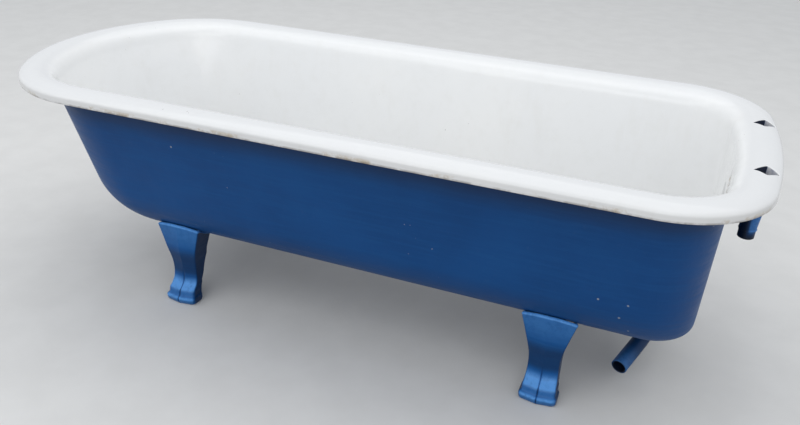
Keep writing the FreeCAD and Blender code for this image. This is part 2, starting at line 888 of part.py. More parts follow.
bore = waste_elbow.newObject("PartDesign::SubtractivePipe", "elbow_bore")
bore.Profile = tube_inside
bore.Spine = (path, ["Edge1", "Edge2", "Edge3"])
waste_elbow.Tip = bore
place(waste_elbow, x=WASTE_X, z=SHANK_END, turn=Rotation(Vector(0, 0, 1), size("elbow_turn_angle")))

UNION_LOW = SHANK_END + " - elbow_collar_height - union_nut_web"
union_body = prism("union_body", 6, "union_nut_radius", "union_nut_height", x=WASTE_X, z=UNION_LOW)
union_cuts = [
    rod("union_tube_hole", "elbow_radius + fit_clearance", "union_nut_web", x=WASTE_X, z=UNION_LOW),
    rod(
        "union_recess",
        "elbow_collar_radius + fit_clearance",
        "elbow_collar_height",
        x=WASTE_X,
        z=UNION_LOW + " + union_nut_web",
    ),
    rod(
        "union_thread",
        "waste_shank_radius + thread_clearance",
        "union_nut_height - union_nut_web - elbow_collar_height",
        x=WASTE_X,
        z=SHANK_END,
    ),
]
waste_union_nut = cut("waste_union_nut", union_body, fuse("union_cuts", union_cuts))

# Plug and its pull ring. The plug stands clear of its seat by the fit clearance.

PLUG_REST = SEAL_TOP + " + waste_rim_thickness + fit_clearance"
plug_cap = taper(
    "plug_cap",
    "plug_cap_radius",
    "plug_cap_radius - plug_cap_height / 2",
    "plug_cap_height",
    x=WASTE_X,
    z=PLUG_REST,
)
plug_stem = taper(
    "plug_stem",
    "waste_bore_radius - fit_clearance",
    "plug_seat_radius - fit_clearance",
    "plug_seat_depth",
    x=WASTE_X,
    z=PLUG_REST + " - plug_seat_depth",
)
PIN_LOW = PLUG_REST + " + plug_cap_height - ring_pin_depth"
pin_hole = rod("pin_hole", "ring_pin_radius", "ring_pin_depth", x=WASTE_X, z=PIN_LOW)
waste_plug = cut("waste_plug", fuse("plug_blank", [plug_cap, plug_stem]), pin_hole)
ring_pin = rod("ring_pin", "ring_pin_radius", "ring_pin_depth + ring_wire_radius * 2", x=WASTE_X, z=PIN_LOW)
pull_loop = doc.addObject("Part::Torus", "pull_loop")
bind(pull_loop, Radius1="ring_radius", Radius2="ring_wire_radius")
place(
    pull_loop,
    x=WASTE_X,
    z=PLUG_REST + " + plug_cap_height + ring_wire_radius * 2 + ring_radius",
    turn=Rotation(Vector(1, 0, 0), 90),
)
plug_ring = fuse("plug_ring", [ring_pin, pull_loop])

# Overflow horn: an eared flange on the boss, and a spout that narrows as it turns down


def eared_plate(name, start, thickness, bore_radius):
    """A round plate with an ear for a screw on each side, standing square to X."""
    disc = rod(name + "_disc", "horn_flange_radius", thickness, x=start, z=OVERFLOW_HEIGHT, turn=ALONG_X)
    pieces = [disc]
    holes = [rod(name + "_bore", bore_radius, thickness, x=start, z=OVERFLOW_HEIGHT, turn=ALONG_X)]
    bar = block(
        name + "_bar",
        thickness,
        "horn_screw_spacing",
        "horn_ear_radius * 2",
        x=start,
        y="-horn_screw_spacing / 2",
        z=OVERFLOW_HEIGHT - size("horn_ear_radius"),
    )
    pieces.append(bar)
    for end, side in (("near", "-"), ("far", "")):
        ear_y = side + "horn_screw_spacing / 2"
        ear = rod(
            name + "_ear_" + end,
            "horn_ear_radius",
            thickness,
            x=start,
            y=ear_y,
            z=OVERFLOW_HEIGHT,
            turn=ALONG_X,
        )
        hole = rod(
            name + "_hole_" + end,
            "horn_screw_radius + bolt_clearance / 2",
            thickness,
            x=start,
            y=ear_y,
            z=OVERFLOW_HEIGHT,
            turn=ALONG_X,
        )
        pieces.append(ear)
        holes.append(hole)
    return cut(name, fuse(name + "_blank", pieces), fuse(name + "_holes", holes))


FLANGE_FACE = BOSS_FACE + size("horn_gasket_thickness")
HORN_START = FLANGE_FACE + size("horn_flange_thickness")
overflow_gasket = eared_plate("overflow_gasket", BOSS_FACE, "horn_gasket_thickness", "horn_mouth_radius")
horn_flange = eared_plate("horn_flange", FLANGE_FACE, "horn_flange_thickness", "horn_mouth_radius")

HORN_BEND_STEPS = 5
# The horn's radius at the foot of its bend, between the spout's and the mouth's
BEND_END_SHARE = 0.3


def horn_form(inward):
    """The horn's outside, or its bore where inward is its wall."""
    bend_radius = size("horn_bend_radius")
    mouth = size("horn_mouth_radius") + size("horn_wall") - inward
    spout = size("horn_spout_radius") - inward
    bend_end = spout + (mouth - spout) * BEND_END_SHARE
    circles = []
    for step in range(HORN_BEND_STEPS + 1):
        share = step / HORN_BEND_STEPS
        turn = math.pi / 2 * share
        along = Vector(math.cos(turn), 0, -math.sin(turn))
        middle = Vector(
            FLANGE_FACE + bend_radius * math.sin(turn),
            0,
            OVERFLOW_HEIGHT - bend_radius * (1 - math.cos(turn)),
        )
        circle = Part.Circle(middle, along, mouth + (bend_end - mouth) * share)
        circles.append(Part.Wire(circle.toShape()))
    bend = Part.makeLoft(circles, True, False)
    axis_x = FLANGE_FACE + bend_radius
    spout_end = OVERFLOW_HEIGHT - size("horn_drop")
    spout_top = spout_end + size("horn_spout_length")
    cone_length = OVERFLOW_HEIGHT - bend_radius - spout_top
    cone = Part.makeCone(spout, bend_end, cone_length, Vector(axis_x, 0, spout_top))
    nozzle = Part.makeCylinder(spout, size("horn_spout_length"), Vector(axis_x, 0, spout_end))
    return bend.fuse(cone).fuse(nozzle)


horn_outside = shaped("horn_outside", horn_form(0))
horn_bore = shaped("horn_bore", horn_form(size("horn_wall")))
overflow_horn = cut("overflow_horn", fuse("horn_blank", [horn_flange, horn_outside]), horn_bore)

screws = []
for name, side in (("near", "-"), ("far", "")):
    shank = rod(
        "screw_shank_" + name,
        "horn_screw_radius",
        "horn_screw_grip + horn_gasket_thickness + horn_flange_thickness",
        x=BOSS_FACE - size("horn_screw_grip"),
        y=side + "horn_screw_spacing / 2",
        z=OVERFLOW_HEIGHT,
        turn=ALONG_X,
    )
    head = prism(
        "screw_head_" + name,
        6,
        "horn_screw_head_radius",
        "horn_screw_head_height",
        x=HORN_START,
        y=side + "horn_screw_spacing / 2",
        z=OVERFLOW_HEIGHT,
        turn=ALONG_X,
    )
    screws.append(fuse("screw_" + name, [shank, head]))
overflow_screws = group("overflow_screws", screws)

# Check every piece, then write each sub-part to its own file

SUB_PARTS = [
    tub_casting,
    enamel_lining,
    foot_studs,
    foot_washers,
    foot_nuts,
    waste_flange,
    waste_seal,
    waste_gasket,
    waste_backnut,
    waste_elbow,
    waste_union_nut,
    waste_plug,
    plug_ring,
    overflow_horn,
    overflow_gasket,
    overflow_screws,
] + feet

doc.recompute()
for piece in doc.Objects:
    if "Invalid" in piece.State or "Error" in piece.State:
        raise RuntimeError(piece.Name + " failed: " + ", ".join(piece.State))
for part in SUB_PARTS:
    part.Label = part.Name
    if part.Shape.isNull() or not part.Shape.isValid():
        raise RuntimeError(part.Label + " has no valid shape")

os.makedirs("parts", exist_ok=True)
for part in SUB_PARTS:
    part.Shape.exportStep("parts/" + part.Label + ".step")
    solids = part.Shape.Solids
    volume = sum(solid.Volume for solid in solids)
    print("%-18s %d solids, %.0f mm3" % (part.Label, len(solids), volume))
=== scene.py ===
import json
from functools import lru_cache
from math import atan2, cos, exp, hypot, pi, radians, sin, sqrt, tan

import bmesh
import bpy
import numpy as np
from mathutils import Matrix, Vector
from mathutils.geometry import delaunay_2d_cdt


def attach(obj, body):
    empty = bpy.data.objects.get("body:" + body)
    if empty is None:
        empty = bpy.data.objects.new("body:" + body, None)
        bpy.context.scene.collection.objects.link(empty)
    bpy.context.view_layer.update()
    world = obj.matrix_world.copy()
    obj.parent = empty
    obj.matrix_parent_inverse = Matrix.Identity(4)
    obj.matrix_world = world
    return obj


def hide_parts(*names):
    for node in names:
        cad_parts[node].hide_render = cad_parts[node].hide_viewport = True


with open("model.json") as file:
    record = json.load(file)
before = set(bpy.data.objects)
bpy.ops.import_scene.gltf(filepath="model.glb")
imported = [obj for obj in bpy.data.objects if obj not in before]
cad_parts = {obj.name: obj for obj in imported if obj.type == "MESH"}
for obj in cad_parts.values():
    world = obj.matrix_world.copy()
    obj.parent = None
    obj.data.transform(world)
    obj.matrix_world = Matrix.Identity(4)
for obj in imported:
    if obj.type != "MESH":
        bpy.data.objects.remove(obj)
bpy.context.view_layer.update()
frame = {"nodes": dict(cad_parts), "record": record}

# Sizes in millimetres and degrees. The meshes are made in millimetres and scaled once.
MM = 0.001
HALF_LENGTH = 840.0
RIM_Z = 532.0
BODY_Z = 163.0
SIDE_LEAN = -6.0 / HALF_LENGTH
LEAN_STRETCH = hypot(1, SIDE_LEAN)
HALF_WIDTH = 367.5 + SIDE_LEAN * (HALF_LENGTH - 283.0)
HEAD_CORNER, HEAD_BOW = 283.0, 27.0
TAP_CORNER, TAP_BOW = 189.0, 11.0
ROLL_HALF, ROLL_RISE = 33.5, 15.6
WALL_INSET, COVE = 69.5, 40.0
IRON, ENAMEL = 6.0, 1.5
SKIN = IRON + ENAMEL
WALL_TOP = RIM_Z - COVE
WALLS = {"side": (6.5, 125.0), "head": (19.2, 167.0), "tap": (2.0, 48.0)}
TAP_HOLE_X = HALF_LENGTH - ROLL_HALF
TAP_HOLE_Y = 130.0
TAP_HOLE_SIDE, TAP_HOLE_CORNER = 31.0, 3.0
# Radii of the enamel's rounding into the holes
TAP_ROUNDING, OVERFLOW_ROUNDING = 2.2, 1.6
PAD_RADIUS, PAD_Z = 29.0, 510.0
WASTE_X = HALF_LENGTH - 168.0
WASTE_HOLE = 22.5
OVERFLOW_Z = RIM_Z - 95.0
OVERFLOW_HOLE, OVERFLOW_RING = 4.5, 17.0
BOSS_RADIUS, BOSS_FACE_X, BOSS_FILLET = 36.0, 775.579, 4.5
EAR_OUT, EAR_RADIUS = 41.0, 10.0
FOOT_PAD_Z, FOOT_PAD_RADIUS, FOOT_PAD_FILLET = BODY_Z - 5.0, 20.0, 4.0
STUDS = [(-374, -185.164), (-374, 185.164), (493, -178.971), (493, 178.971)]
SIDES = (("near", -1), ("far", 1))
# Half sizes of the parts of the walls that are meshed round the holes, and mesh steps
TAP_WINDOW, OVERFLOW_WINDOW = 31, 34
RIM_WINDOW_LOW, RIM_WINDOW_HIGH = 3, 64
WALL_STEP, FLOOR_STEP = 5.0, 24.0
QUARTER = pi / 2

# Mesh helpers

# The two axes of a flat patch, seen from above or from the end
LEVEL, UPRIGHT = slice(0, 2), slice(1, 3)


class Form:
    """Points and faces of one piece as they are gathered."""

    def __init__(self):
        self.points, self.tints, self.faces = [], [], []

    def add(self, points, tint=0.0):
        """Points with one tint: above 0 it marks wear, stains, bare metal and painted light, and below
        0 grime and painted shade.
        """
        start = len(self.points)
        self.points += [tuple(p) for p in points]
        self.tints += [tint] * (len(self.points) - start)
        return list(range(start, len(self.points)))

    def face(self, ids):
        self.faces.append(list(ids))

    def strip(self, low, high, closed=True):
        count = len(low)
        for i in range(count if closed else count - 1):
            j = (i + 1) % count
            self.face((low[i], low[j], high[j], high[i]))

    def strips(self, rings, closed=True):
        for low, high in zip(rings, rings[1:]):
            self.strip(low, high, closed)

    def bar(self, low, high):
        self.strip(low, high)
        self.face(low)
        self.face(high)

    def grid(self, rows, holes=()):
        """Closed rows joined by quads. holes are windows (row, row, column, column) left open."""
        ids = [self.add(row) for row in rows]
        for r in range(len(ids) - 1):
            for c in range(len(ids[r])):
                if any(a <= r < b and e <= c < f for a, b, e, f in holes):
                    continue
                d = (c + 1) % len(ids[r])
                self.face((ids[r][c], ids[r][d], ids[r + 1][d], ids[r + 1][c]))
        return ids

    def patch(self, border, holes, axes, inner=()):
        """Triangles between a border and the holes' rims, with inner points between them."""
        ids, edges = [], []
        for loop in [border, *holes]:
            start, count = len(ids), len(loop)
            ids += loop
            edges += [(start + i, start + (i + 1) % count) for i in range(count)]
        stops = np.cumsum([len(border), *map(len, holes)])
        ids += self.add(inner)
        places = [Vector(self.points[i][axes]) for i in ids]
        outline, *rims, _ = np.split(np.array([tuple(p) for p in places]), stops)
        found = delaunay_2d_cdt(places, edges, [], 0, 1e-5)
        for triangle in found[2]:
            middle = np.mean([tuple(found[0][k]) for k in triangle], axis=0)
            if not inside(middle, outline) or any(inside(middle, rim) for rim in rims):
                continue
            corners = [ids[found[3][k][0]] for k in triangle]
            if len(set(corners)) == 3:
                self.face(corners)

    def piece(self, name, body, slot, replaces=(), sharp=35):
        mesh = bpy.data.meshes.new(name)
        scaled = [(x * MM, y * MM, z * MM) for x, y, z in self.points]
        mesh.from_pydata(scaled, [], self.faces)
        mesh.attributes.new("tint", "FLOAT", "POINT").data.foreach_set("value", self.tints)
        mesh.validate()
        bm = bmesh.new()
        bm.from_mesh(mesh)
        bmesh.ops.remove_doubles(bm, verts=bm.verts, dist=2e-6)
        bmesh.ops.recalc_face_normals(bm, faces=bm.faces)
        bm.to_mesh(mesh)
        bm.free()
        mesh.materials.append(MATERIALS[slot])
        mesh.shade_smooth()
        mesh.set_sharp_from_angle(angle=radians(sharp))
        piece = bpy.data.objects.new(name, mesh)
        bpy.context.scene.collection.objects.link(piece)
        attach(piece, body)
        if replaces:
            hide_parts(*replaces)
        return piece


def inside(point, loop):
    """Whether a flat point lies inside a closed loop of flat points."""
    x, y = point
    x1, y1 = loop[:, 0], loop[:, 1]
    x2, y2 = np.roll(x1, -1), np.roll(y1, -1)
    crossing = (y1 > y) != (y2 > y)
    with np.errstate(divide="ignore", invalid="ignore"):
        at = x1 + (y - y1) * (x2 - x1) / (y2 - y1)
    return bool(np.count_nonzero(crossing & (x < at)) % 2)


def circle(radius, count, start=0.0):
    turn = start + np.linspace(0, 2 * pi, count, endpoint=False)
    return np.c_[radius * np.cos(turn), radius * np.sin(turn)]


def level(flat, height):
    return np.c_[flat, np.full(len(flat), height)]


def upright(flat, x):
    return np.c_[np.full(len(flat), x), flat]


def rounded(corners, radius, count, shares=()):
    """An outline round four corner centres, with more points at shares of its straights."""
    points = []
    for k in range(4):
        turn = (np.linspace(0, 1, count) + k) * QUARTER
        arc = corners[k] + radius * np.c_[np.cos(turn), np.sin(turn)]
        gap = corners[(k + 1) % 4] - corners[k]
        points += [*arc, *(arc[-1] + gap * share for share in shares)]
    return np.array(points)


CORNERS = np.array([(1, 1), (-1, 1), (-1, -1), (1, -1)])


def edge_steps(count):
    """Steps round an edge: the shares of its radius still to go out, and gone down."""
    turn = np.linspace(0, QUARTER, count)
    return list(zip(1 - np.sin(turn), 1 - np.cos(turn)))


def shade_step(value, low, high):
    share = np.clip((np.asarray(value, float) - low) / (high - low), 0, 1)
    return share ** 2 * (3 - 2 * share)


def band(value, low, high, fall, end):
    return shade_step(value, low, high) * (1 - shade_step(value, fall, end))


# The shell's shape

COUNTS = {"side": 150, "tap_corner": 40, "tap_end": 72, "head_corner": 44, "head_end": 24}


MIRROR = np.array([1, -1])


def end_arcs(tip, side, corner, bow, way):
    centre_x = tip - way * (corner + bow)
    centre_y = side + SIDE_LEAN * centre_x - corner * LEAN_STRETCH
    radius = corner + (bow ** 2 + centre_y ** 2) / (2 * bow)
    end_x = tip - way * radius
    join = atan2(centre_y, way * (centre_x - end_x))
    side_angle = atan2(1, -SIDE_LEAN * way)
    return centre_x, centre_y, end_x, radius, side_angle, join


def end_outline(key, way, side, tip, corner, bow):
    """An end's far corner, the bow between its corners, and its far corner the other way."""
    corner_x, corner_y, end_x, radius, side_angle, join = end_arcs(tip, side, corner, bow, way)

    def arc(x, y, reach, start, stop, count):
        turn = start + (stop - start) * np.arange(count) / count
        return np.c_[x + way * reach * np.cos(turn), y + reach * np.sin(turn)]

    count = COUNTS[key + "_corner"]
    return (
        arc(corner_x, corner_y, corner, side_angle, join, count),
        arc(end_x, 0, radius, join, -join, COUNTS[key + "_end"]),
        arc(corner_x, corner_y, corner, join, side_angle, count),
    )


def plan(side, head, tap):
    """One level loop, clockwise from the far side's head end. head and tap are an end's tip, the
    radius of its corners and its bow."""
    head_corner, head_end, head_back = end_outline("head", -1, side, *head)
    tap_corner, tap_end, tap_back = end_outline("tap", 1, side, *tap)
    run = (tap_corner[0] - head_corner[0]) * np.arange(COUNTS["side"])[:, None] / COUNTS["side"]
    near = [tap_back, tap_corner[0] - run, head_corner, head_end]
    far = [head_corner[0] + run, tap_corner, tap_end]
    return np.concatenate([*far, *(part * MIRROR for part in near), head_back])


TAP_END_START = COUNTS["side"] + COUNTS["tap_corner"]
TAP_END_STOP = TAP_END_START + COUNTS["tap_end"]


def wall_reach(height, top_reach, wall, inward):
    angle, radius = radians(WALLS[wall][0]), WALLS[wall][1] - inward
    floor = BODY_Z + inward
    top = top_reach - WALL_INSET - inward
    tangent = floor + radius * (1 - sin(angle))
    if height >= tangent:
        return top - (WALL_TOP - height) * tan(angle)
    centre = top - (WALL_TOP - tangent) * tan(angle) - radius * cos(angle)
    above = floor + radius - height
    return centre + sqrt(max(radius ** 2 - above ** 2, 0))


@lru_cache(maxsize=None)
def wall_row(height, inward):
    side = wall_reach(height, HALF_WIDTH, "side", inward)
    head = wall_reach(height, HALF_LENGTH, "head", inward)
    tap = wall_reach(height, HALF_LENGTH, "tap", inward)
    narrowing = side / (HALF_WIDTH - WALL_INSET)
    corners = [(corner - WALL_INSET) * narrowing for corner in (HEAD_CORNER, TAP_CORNER)]
    bows = [bow * narrowing ** 2 for bow in (HEAD_BOW, TAP_BOW)]
    return level(plan(side, *zip((-head, tap), corners, bows)), height)


def rim_row(inset, drop):
    tip = HALF_LENGTH - inset
    head = (-tip, HEAD_CORNER - inset, HEAD_BOW)
    tap = (tip, TAP_CORNER - inset, TAP_BOW)
    return level(plan(HALF_WIDTH - inset, head, tap), RIM_Z - drop)


# Width and height of the rim's section on either side of its crown
OUTER_ROLL = (ROLL_HALF, ROLL_RISE)
INNER_COVE = (WALL_INSET + SKIN - ROLL_HALF, COVE)


def roll_section(angle, inward):
    """Inset and drop of a point of the rim's section, from the cove at 0 over the crown at 90."""
    deeper = SKIN - inward
    wide, high = OUTER_ROLL if angle > 90 else INNER_COVE
    turn = radians(angle)
    return ROLL_HALF + (wide - deeper) * cos(turn), high - (high - deeper) * sin(turn)


# How far the side's base curve turns, and the height up to which the wall is straight
BASE_TURN = 90 - WALLS["side"][0]
STRAIGHT_TOP = WALL_TOP - COVE / 4


def base_row(turn, inward):
    rise = (WALLS["side"][1] - inward) * (1 - cos(radians(turn)))
    return wall_row(BODY_Z + inward + rise, inward)


def skin_rows(inward):
    """Rows of one surface of the shell from the edge of its flat floor up to its lip."""
    base_count, wall_count, blend_count, cove_count, roll_count = 30, 16, 7, 15, 24
    rows = [base_row(turn, inward) for turn in np.linspace(0, BASE_TURN, base_count)]
    straight = wall_row(STRAIGHT_TOP, inward)
    foot = rows[-1]
    for share in np.linspace(0, 1, wall_count + 1)[1:]:
        rows.append(foot + (straight - foot) * share)
    start, stop = straight, rim_row(*roll_section(25, inward))
    step = rim_row(*roll_section(26, inward)) - stop
    rise = (straight - foot) / np.linalg.norm(straight - foot, axis=1)[:, None]
    reach = np.linalg.norm(stop - start, axis=1)[:, None]
    arrive = step / np.linalg.norm(step, axis=1)[:, None]
    for t in np.linspace(0, 1, blend_count + 1)[1:-1]:
        rows.append(
            (2 * t ** 3 - 3 * t ** 2 + 1) * start + (t ** 3 - 2 * t ** 2 + t) * rise * reach
            + (3 * t ** 2 - 2 * t ** 3) * stop + (t ** 3 - t ** 2) * arrive * reach
        )
    angles = [*np.linspace(25, 90, cove_count), *np.linspace(90, 180, roll_count)[1:]]
    return rows + [rim_row(*roll_section(angle, inward)) for angle in angles]


def tap_end_inset(x, y):
    """How far a point near the tap end lies inside the rim's outer edge."""
    _, _, end_x, radius, _, _ = end_arcs(HALF_LENGTH, HALF_WIDTH, TAP_CORNER, TAP_BOW, 1)
    return radius - hypot(x - end_x, y)


def rim_height(x, y, inward):
    """Height of the rim's surface above a point near the tap end."""
    inset = tap_end_inset(x, y)
    deeper = SKIN - inward
    wide, high = OUTER_ROLL if inset < ROLL_HALF else INNER_COVE
    share = min(abs(inset - ROLL_HALF) / (wide - deeper), 1)
    return RIM_Z - (high - (high - deeper) * sqrt(1 - share ** 2))


def tap_wall_x(y, z, inward):
    """The tap end wall's surface at a place of its straight part."""
    low = base_row(BASE_TURN, inward)
    high = wall_row(STRAIGHT_TOP, inward)
    part = slice(TAP_END_START, TAP_END_STOP)
    at = [np.interp(y, row[part, 1][::-1], row[part, 0][::-1]) for row in (low, high)]
    share = (z - low[0, 2]) / (high[0, 2] - low[0, 2])
    return at[0] + (at[1] - at[0]) * share


def square_hole(grow):
    """The tap hole's rim, a rounded square set cornerwise, grown outwards by grow."""
    half, round_by = TAP_HOLE_SIDE / 2 + grow, TAP_HOLE_CORNER + grow
    c = sqrt(0.5)
    flat = rounded((half - round_by) * CORNERS, round_by, 7, (0.25, 0.5, 0.75))
    return flat @ np.array([[c, c], [-c, c]])


OVERFLOW_SPOTS = [(0.0, 0.0)] + [
    (OVERFLOW_RING * sin(k * pi / 3), OVERFLOW_RING * cos(k * pi / 3))
    for k in range(6)
]


def window(rows, keep_row, keep_column):
    """The window of grid points whose rows and columns pass both tests."""
    r = [k for k in range(len(rows)) if keep_row(rows[k])]
    c = [k for k in range(TAP_END_START, TAP_END_STOP) if keep_column(rows[r[0]][k])]
    return r[0], r[-1], c[0], c[-1]


def window_border(ids, a, b, e, f):
    ring = [ids[a][c] for c in range(e, f)] + [ids[r][f] for r in range(a, b)]
    return ring + [ids[b][c] for c in range(f, e, -1)] + [ids[r][e] for r in range(b, a, -1)]


def kept_inside(flat, least):
    """Flat points near the tap end moved in so that they keep a least inset from the rim's edge."""
    for spot in flat:
        spot[0] += min(tap_end_inset(*spot) - least, 0)
    return flat


def pad_outline(side, grow):
    """The outline of a tap hole's pad under the rim, clear of the lip's inner face."""
    flat = circle(PAD_RADIUS + grow, 40, pi / 40) + (TAP_HOLE_X, side * TAP_HOLE_Y)
    return kept_inside(flat, SKIN + 0.6 - grow)


def shell_skin(form, inward):
    """One surface of the shell with its holes. Returns its lip and the rims of its holes. The
    enamel's has rounded holes, and the iron's outside has pads and no overflow holes."""
    enamelled, outside = inward == SKIN, inward == 0
    rows = skin_rows(inward)
    reach = PAD_RADIUS + 8 if outside else TAP_WINDOW
    middle = (TAP_END_START + TAP_END_STOP) // 2
    windows = {}
    for name, side in SIDES:
        windows["tap_" + name] = window(
            rows,
            lambda row: row[middle, 2] > WALL_TOP
            and RIM_WINDOW_LOW < tap_end_inset(*row[middle, :2]) < RIM_WINDOW_HIGH,
            lambda p: abs(p[1] - side * TAP_HOLE_Y) < reach,
        )
    if not outside:
        windows["overflow"] = window(
            rows,
            lambda row: abs(row[middle, 2] - OVERFLOW_Z) < OVERFLOW_WINDOW,
            lambda p: abs(p[1]) < OVERFLOW_WINDOW,
        )
    ids = form.grid(rows, list(windows.values()))
    rims = {}
    for name, side in SIDES:
        centre = (TAP_HOLE_X, side * TAP_HOLE_Y)
        rings = []
        for wide, down in edge_steps(5) if enamelled else [(0, 0)]:
            flat = kept_inside(square_hole(TAP_ROUNDING * wide) + centre, SKIN - inward + 1.0)
            ring = []
            for x, y in pad_outline(side, 0) if outside else flat:
                top = rim_height(x, y, inward)
                ring.append((x, y, top + (rim_height(x, y, inward - ENAMEL) - top) * down))
            rings.append(form.add(ring))
        form.strips(rings)
        a, b, e, f = windows["tap_" + name]
        clear = square_hole(4.0 if enamelled else 1.5) + centre
        clear = pad_outline(side, 1.5) if outside else clear
        inner = [rows[r][c] for r in range(a + 1, b) for c in range(e + 1, f)]
        inner = [p for p in inner if not inside(p[:2], clear)]
        form.patch(window_border(ids, a, b, e, f), [rings[0]], LEVEL, inner)
        rims["tap_" + name] = rings[-1]
    if not outside:
        border = window_border(ids, *windows["overflow"])
        outline = np.array([form.points[i][UPRIGHT] for i in border])
        loops = []
        for number, (y0, z0) in enumerate(OVERFLOW_SPOTS):
            rings = []
            for wide, down in edge_steps(4) if enamelled else [(0, 0)]:
                flat = circle(OVERFLOW_HOLE + OVERFLOW_ROUNDING * wide, 28) + (y0, OVERFLOW_Z + z0)
                ring = [(tap_wall_x(y, z, inward) + ENAMEL * down, y, z) for y, z in flat]
                rings.append(form.add(ring, 0.8 if enamelled else 0))
            form.strips(rings)
            loops.append(rings[0])
            rims["overflow_%d" % number] = rings[-1]
        inner = []
        for y in np.arange(-30, 31, WALL_STEP):
            for z in np.arange(-26, 27, WALL_STEP):
                gap = min(hypot(y - y0, z - z0) for y0, z0 in OVERFLOW_SPOTS)
                if gap > 7 and inside((y, z + OVERFLOW_Z), outline):
                    inner.append((tap_wall_x(y, z + OVERFLOW_Z, inward), y, z + OVERFLOW_Z))
        form.patch(border, loops, UPRIGHT, inner)
    # The flat floor
    floor_z = BODY_Z + inward
    rims["waste"] = form.add(level(circle(WASTE_HOLE, 56) + (WASTE_X, 0), floor_z))
    edge = rows[0][:, :2]
    inner = []
    for x in np.arange(-780, 780, FLOOR_STEP):
        for y in np.arange(-240, 241, FLOOR_STEP):
            off_edge = np.min(np.hypot(edge[:, 0] - x, edge[:, 1] - y)) > 8
            off_waste = hypot(x - WASTE_X, y) > WASTE_HOLE + 6
            if off_edge and off_waste and inside((x, y), edge):
                inner.append((x, y, floor_z))
    form.patch(ids[0], [rims["waste"]], LEVEL, inner)
    return ids[-1], rims


# Materials


class Paint:
    """A material and its nodes as they are wired up."""

    def __init__(self, name):
        self.material = bpy.data.materials.new(name)
        self.material.use_nodes = True
        self.tree = self.material.node_tree
        self.place = self.node("TexCoord").outputs["Object"]

    def put(self, socket, value):
        if isinstance(value, bpy.types.NodeSocket):
            self.tree.links.new(value, socket)
        else:
            socket.default_value = (*value, 1) if socket.type == "RGBA" else value

    def node(self, kind, inputs=None, **settings):
        node = self.tree.nodes.new("ShaderNode" + kind)
        for key, value in settings.items():
            setattr(node, key, value)
        for key, value in (inputs or {}).items():
            self.put(node.inputs[key], value)
        return node

    def surface(self, inputs):
        """The finished material, with values or sockets for inputs of its shader."""
        for key, value in inputs.items():
            self.put(self.tree.nodes["Principled BSDF"].inputs[key], value)
        return self.material

    def noise(self, scale, detail=4, rough=0.55, stretch=None):
        place = self.place
        if stretch:
            place = self.node("Mapping", {"Vector": place, "Scale": stretch}).outputs[0]
        inputs = {"Vector": place, "Scale": scale, "Detail": detail, "Roughness": rough}
        return self.node("TexNoise", inputs).outputs[0]

    def shade(self, value, low, high, to_low=0.0, to_high=1.0):
        inputs = {"Value": value, "From Min": low, "From Max": high}
        inputs.update({"To Min": to_low, "To Max": to_high})
        return self.node("MapRange", inputs, interpolation_type="SMOOTHSTEP").outputs[0]

    def maths(self, kind, a, b=0.0):
        return self.node("Math", {0: a, 1: b}, operation=kind).outputs[0]

    def times(self, a, b):
        return self.maths("MULTIPLY", a, b)

    def blend(self, share, a, b):
        """A mix of two colours."""
        return self.node("Mix", {0: share, 6: a, 7: b}, data_type="RGBA").outputs[2]

    def dents(self, *layers):
        """A bumped normal from pairs of a height and its depth in metres, the broadest first."""
        inputs = {"Strength": 1.0}
        for height, depth in layers:
            inputs.update({"Height": height, "Distance": depth})
            inputs["Normal"] = self.node("Bump", inputs).outputs[0]
        return inputs["Normal"]

    def tint(self):
        """The mesh's tint as two shares: one for wear, stains, bare metal and painted light, and one
        for grime and painted shade.
        """
        value = self.node("Attribute", attribute_name="tint").outputs["Fac"]
        return self.maths("MAXIMUM", value), self.maths("MAXIMUM", self.times(value, -1.0))

    def spots(self, centres, radius):
        """A share that is 1 in ragged spots at fixed places."""
        ragged = self.times(self.noise(260, 3, 0.6), radius * 1.2)
        share = 0.0
        for centre in centres:
            gap = self.node("VectorMath", {0: self.place, 1: centre}, operation="DISTANCE")
            reach = self.maths("ADD", gap.outputs["Value"], ragged)
            spot = self.shade(reach, radius * 1.3, radius * 1.8, 1, 0)
            share = self.maths("MAXIMUM", share, spot)
        return share


# Places in metres of the marks by the overflow
OVERFLOW_STAINS = [(0.7675, 0.004, 0.452), (0.7660, -0.006, 0.424), (0.7640, 0.062, 0.402)]


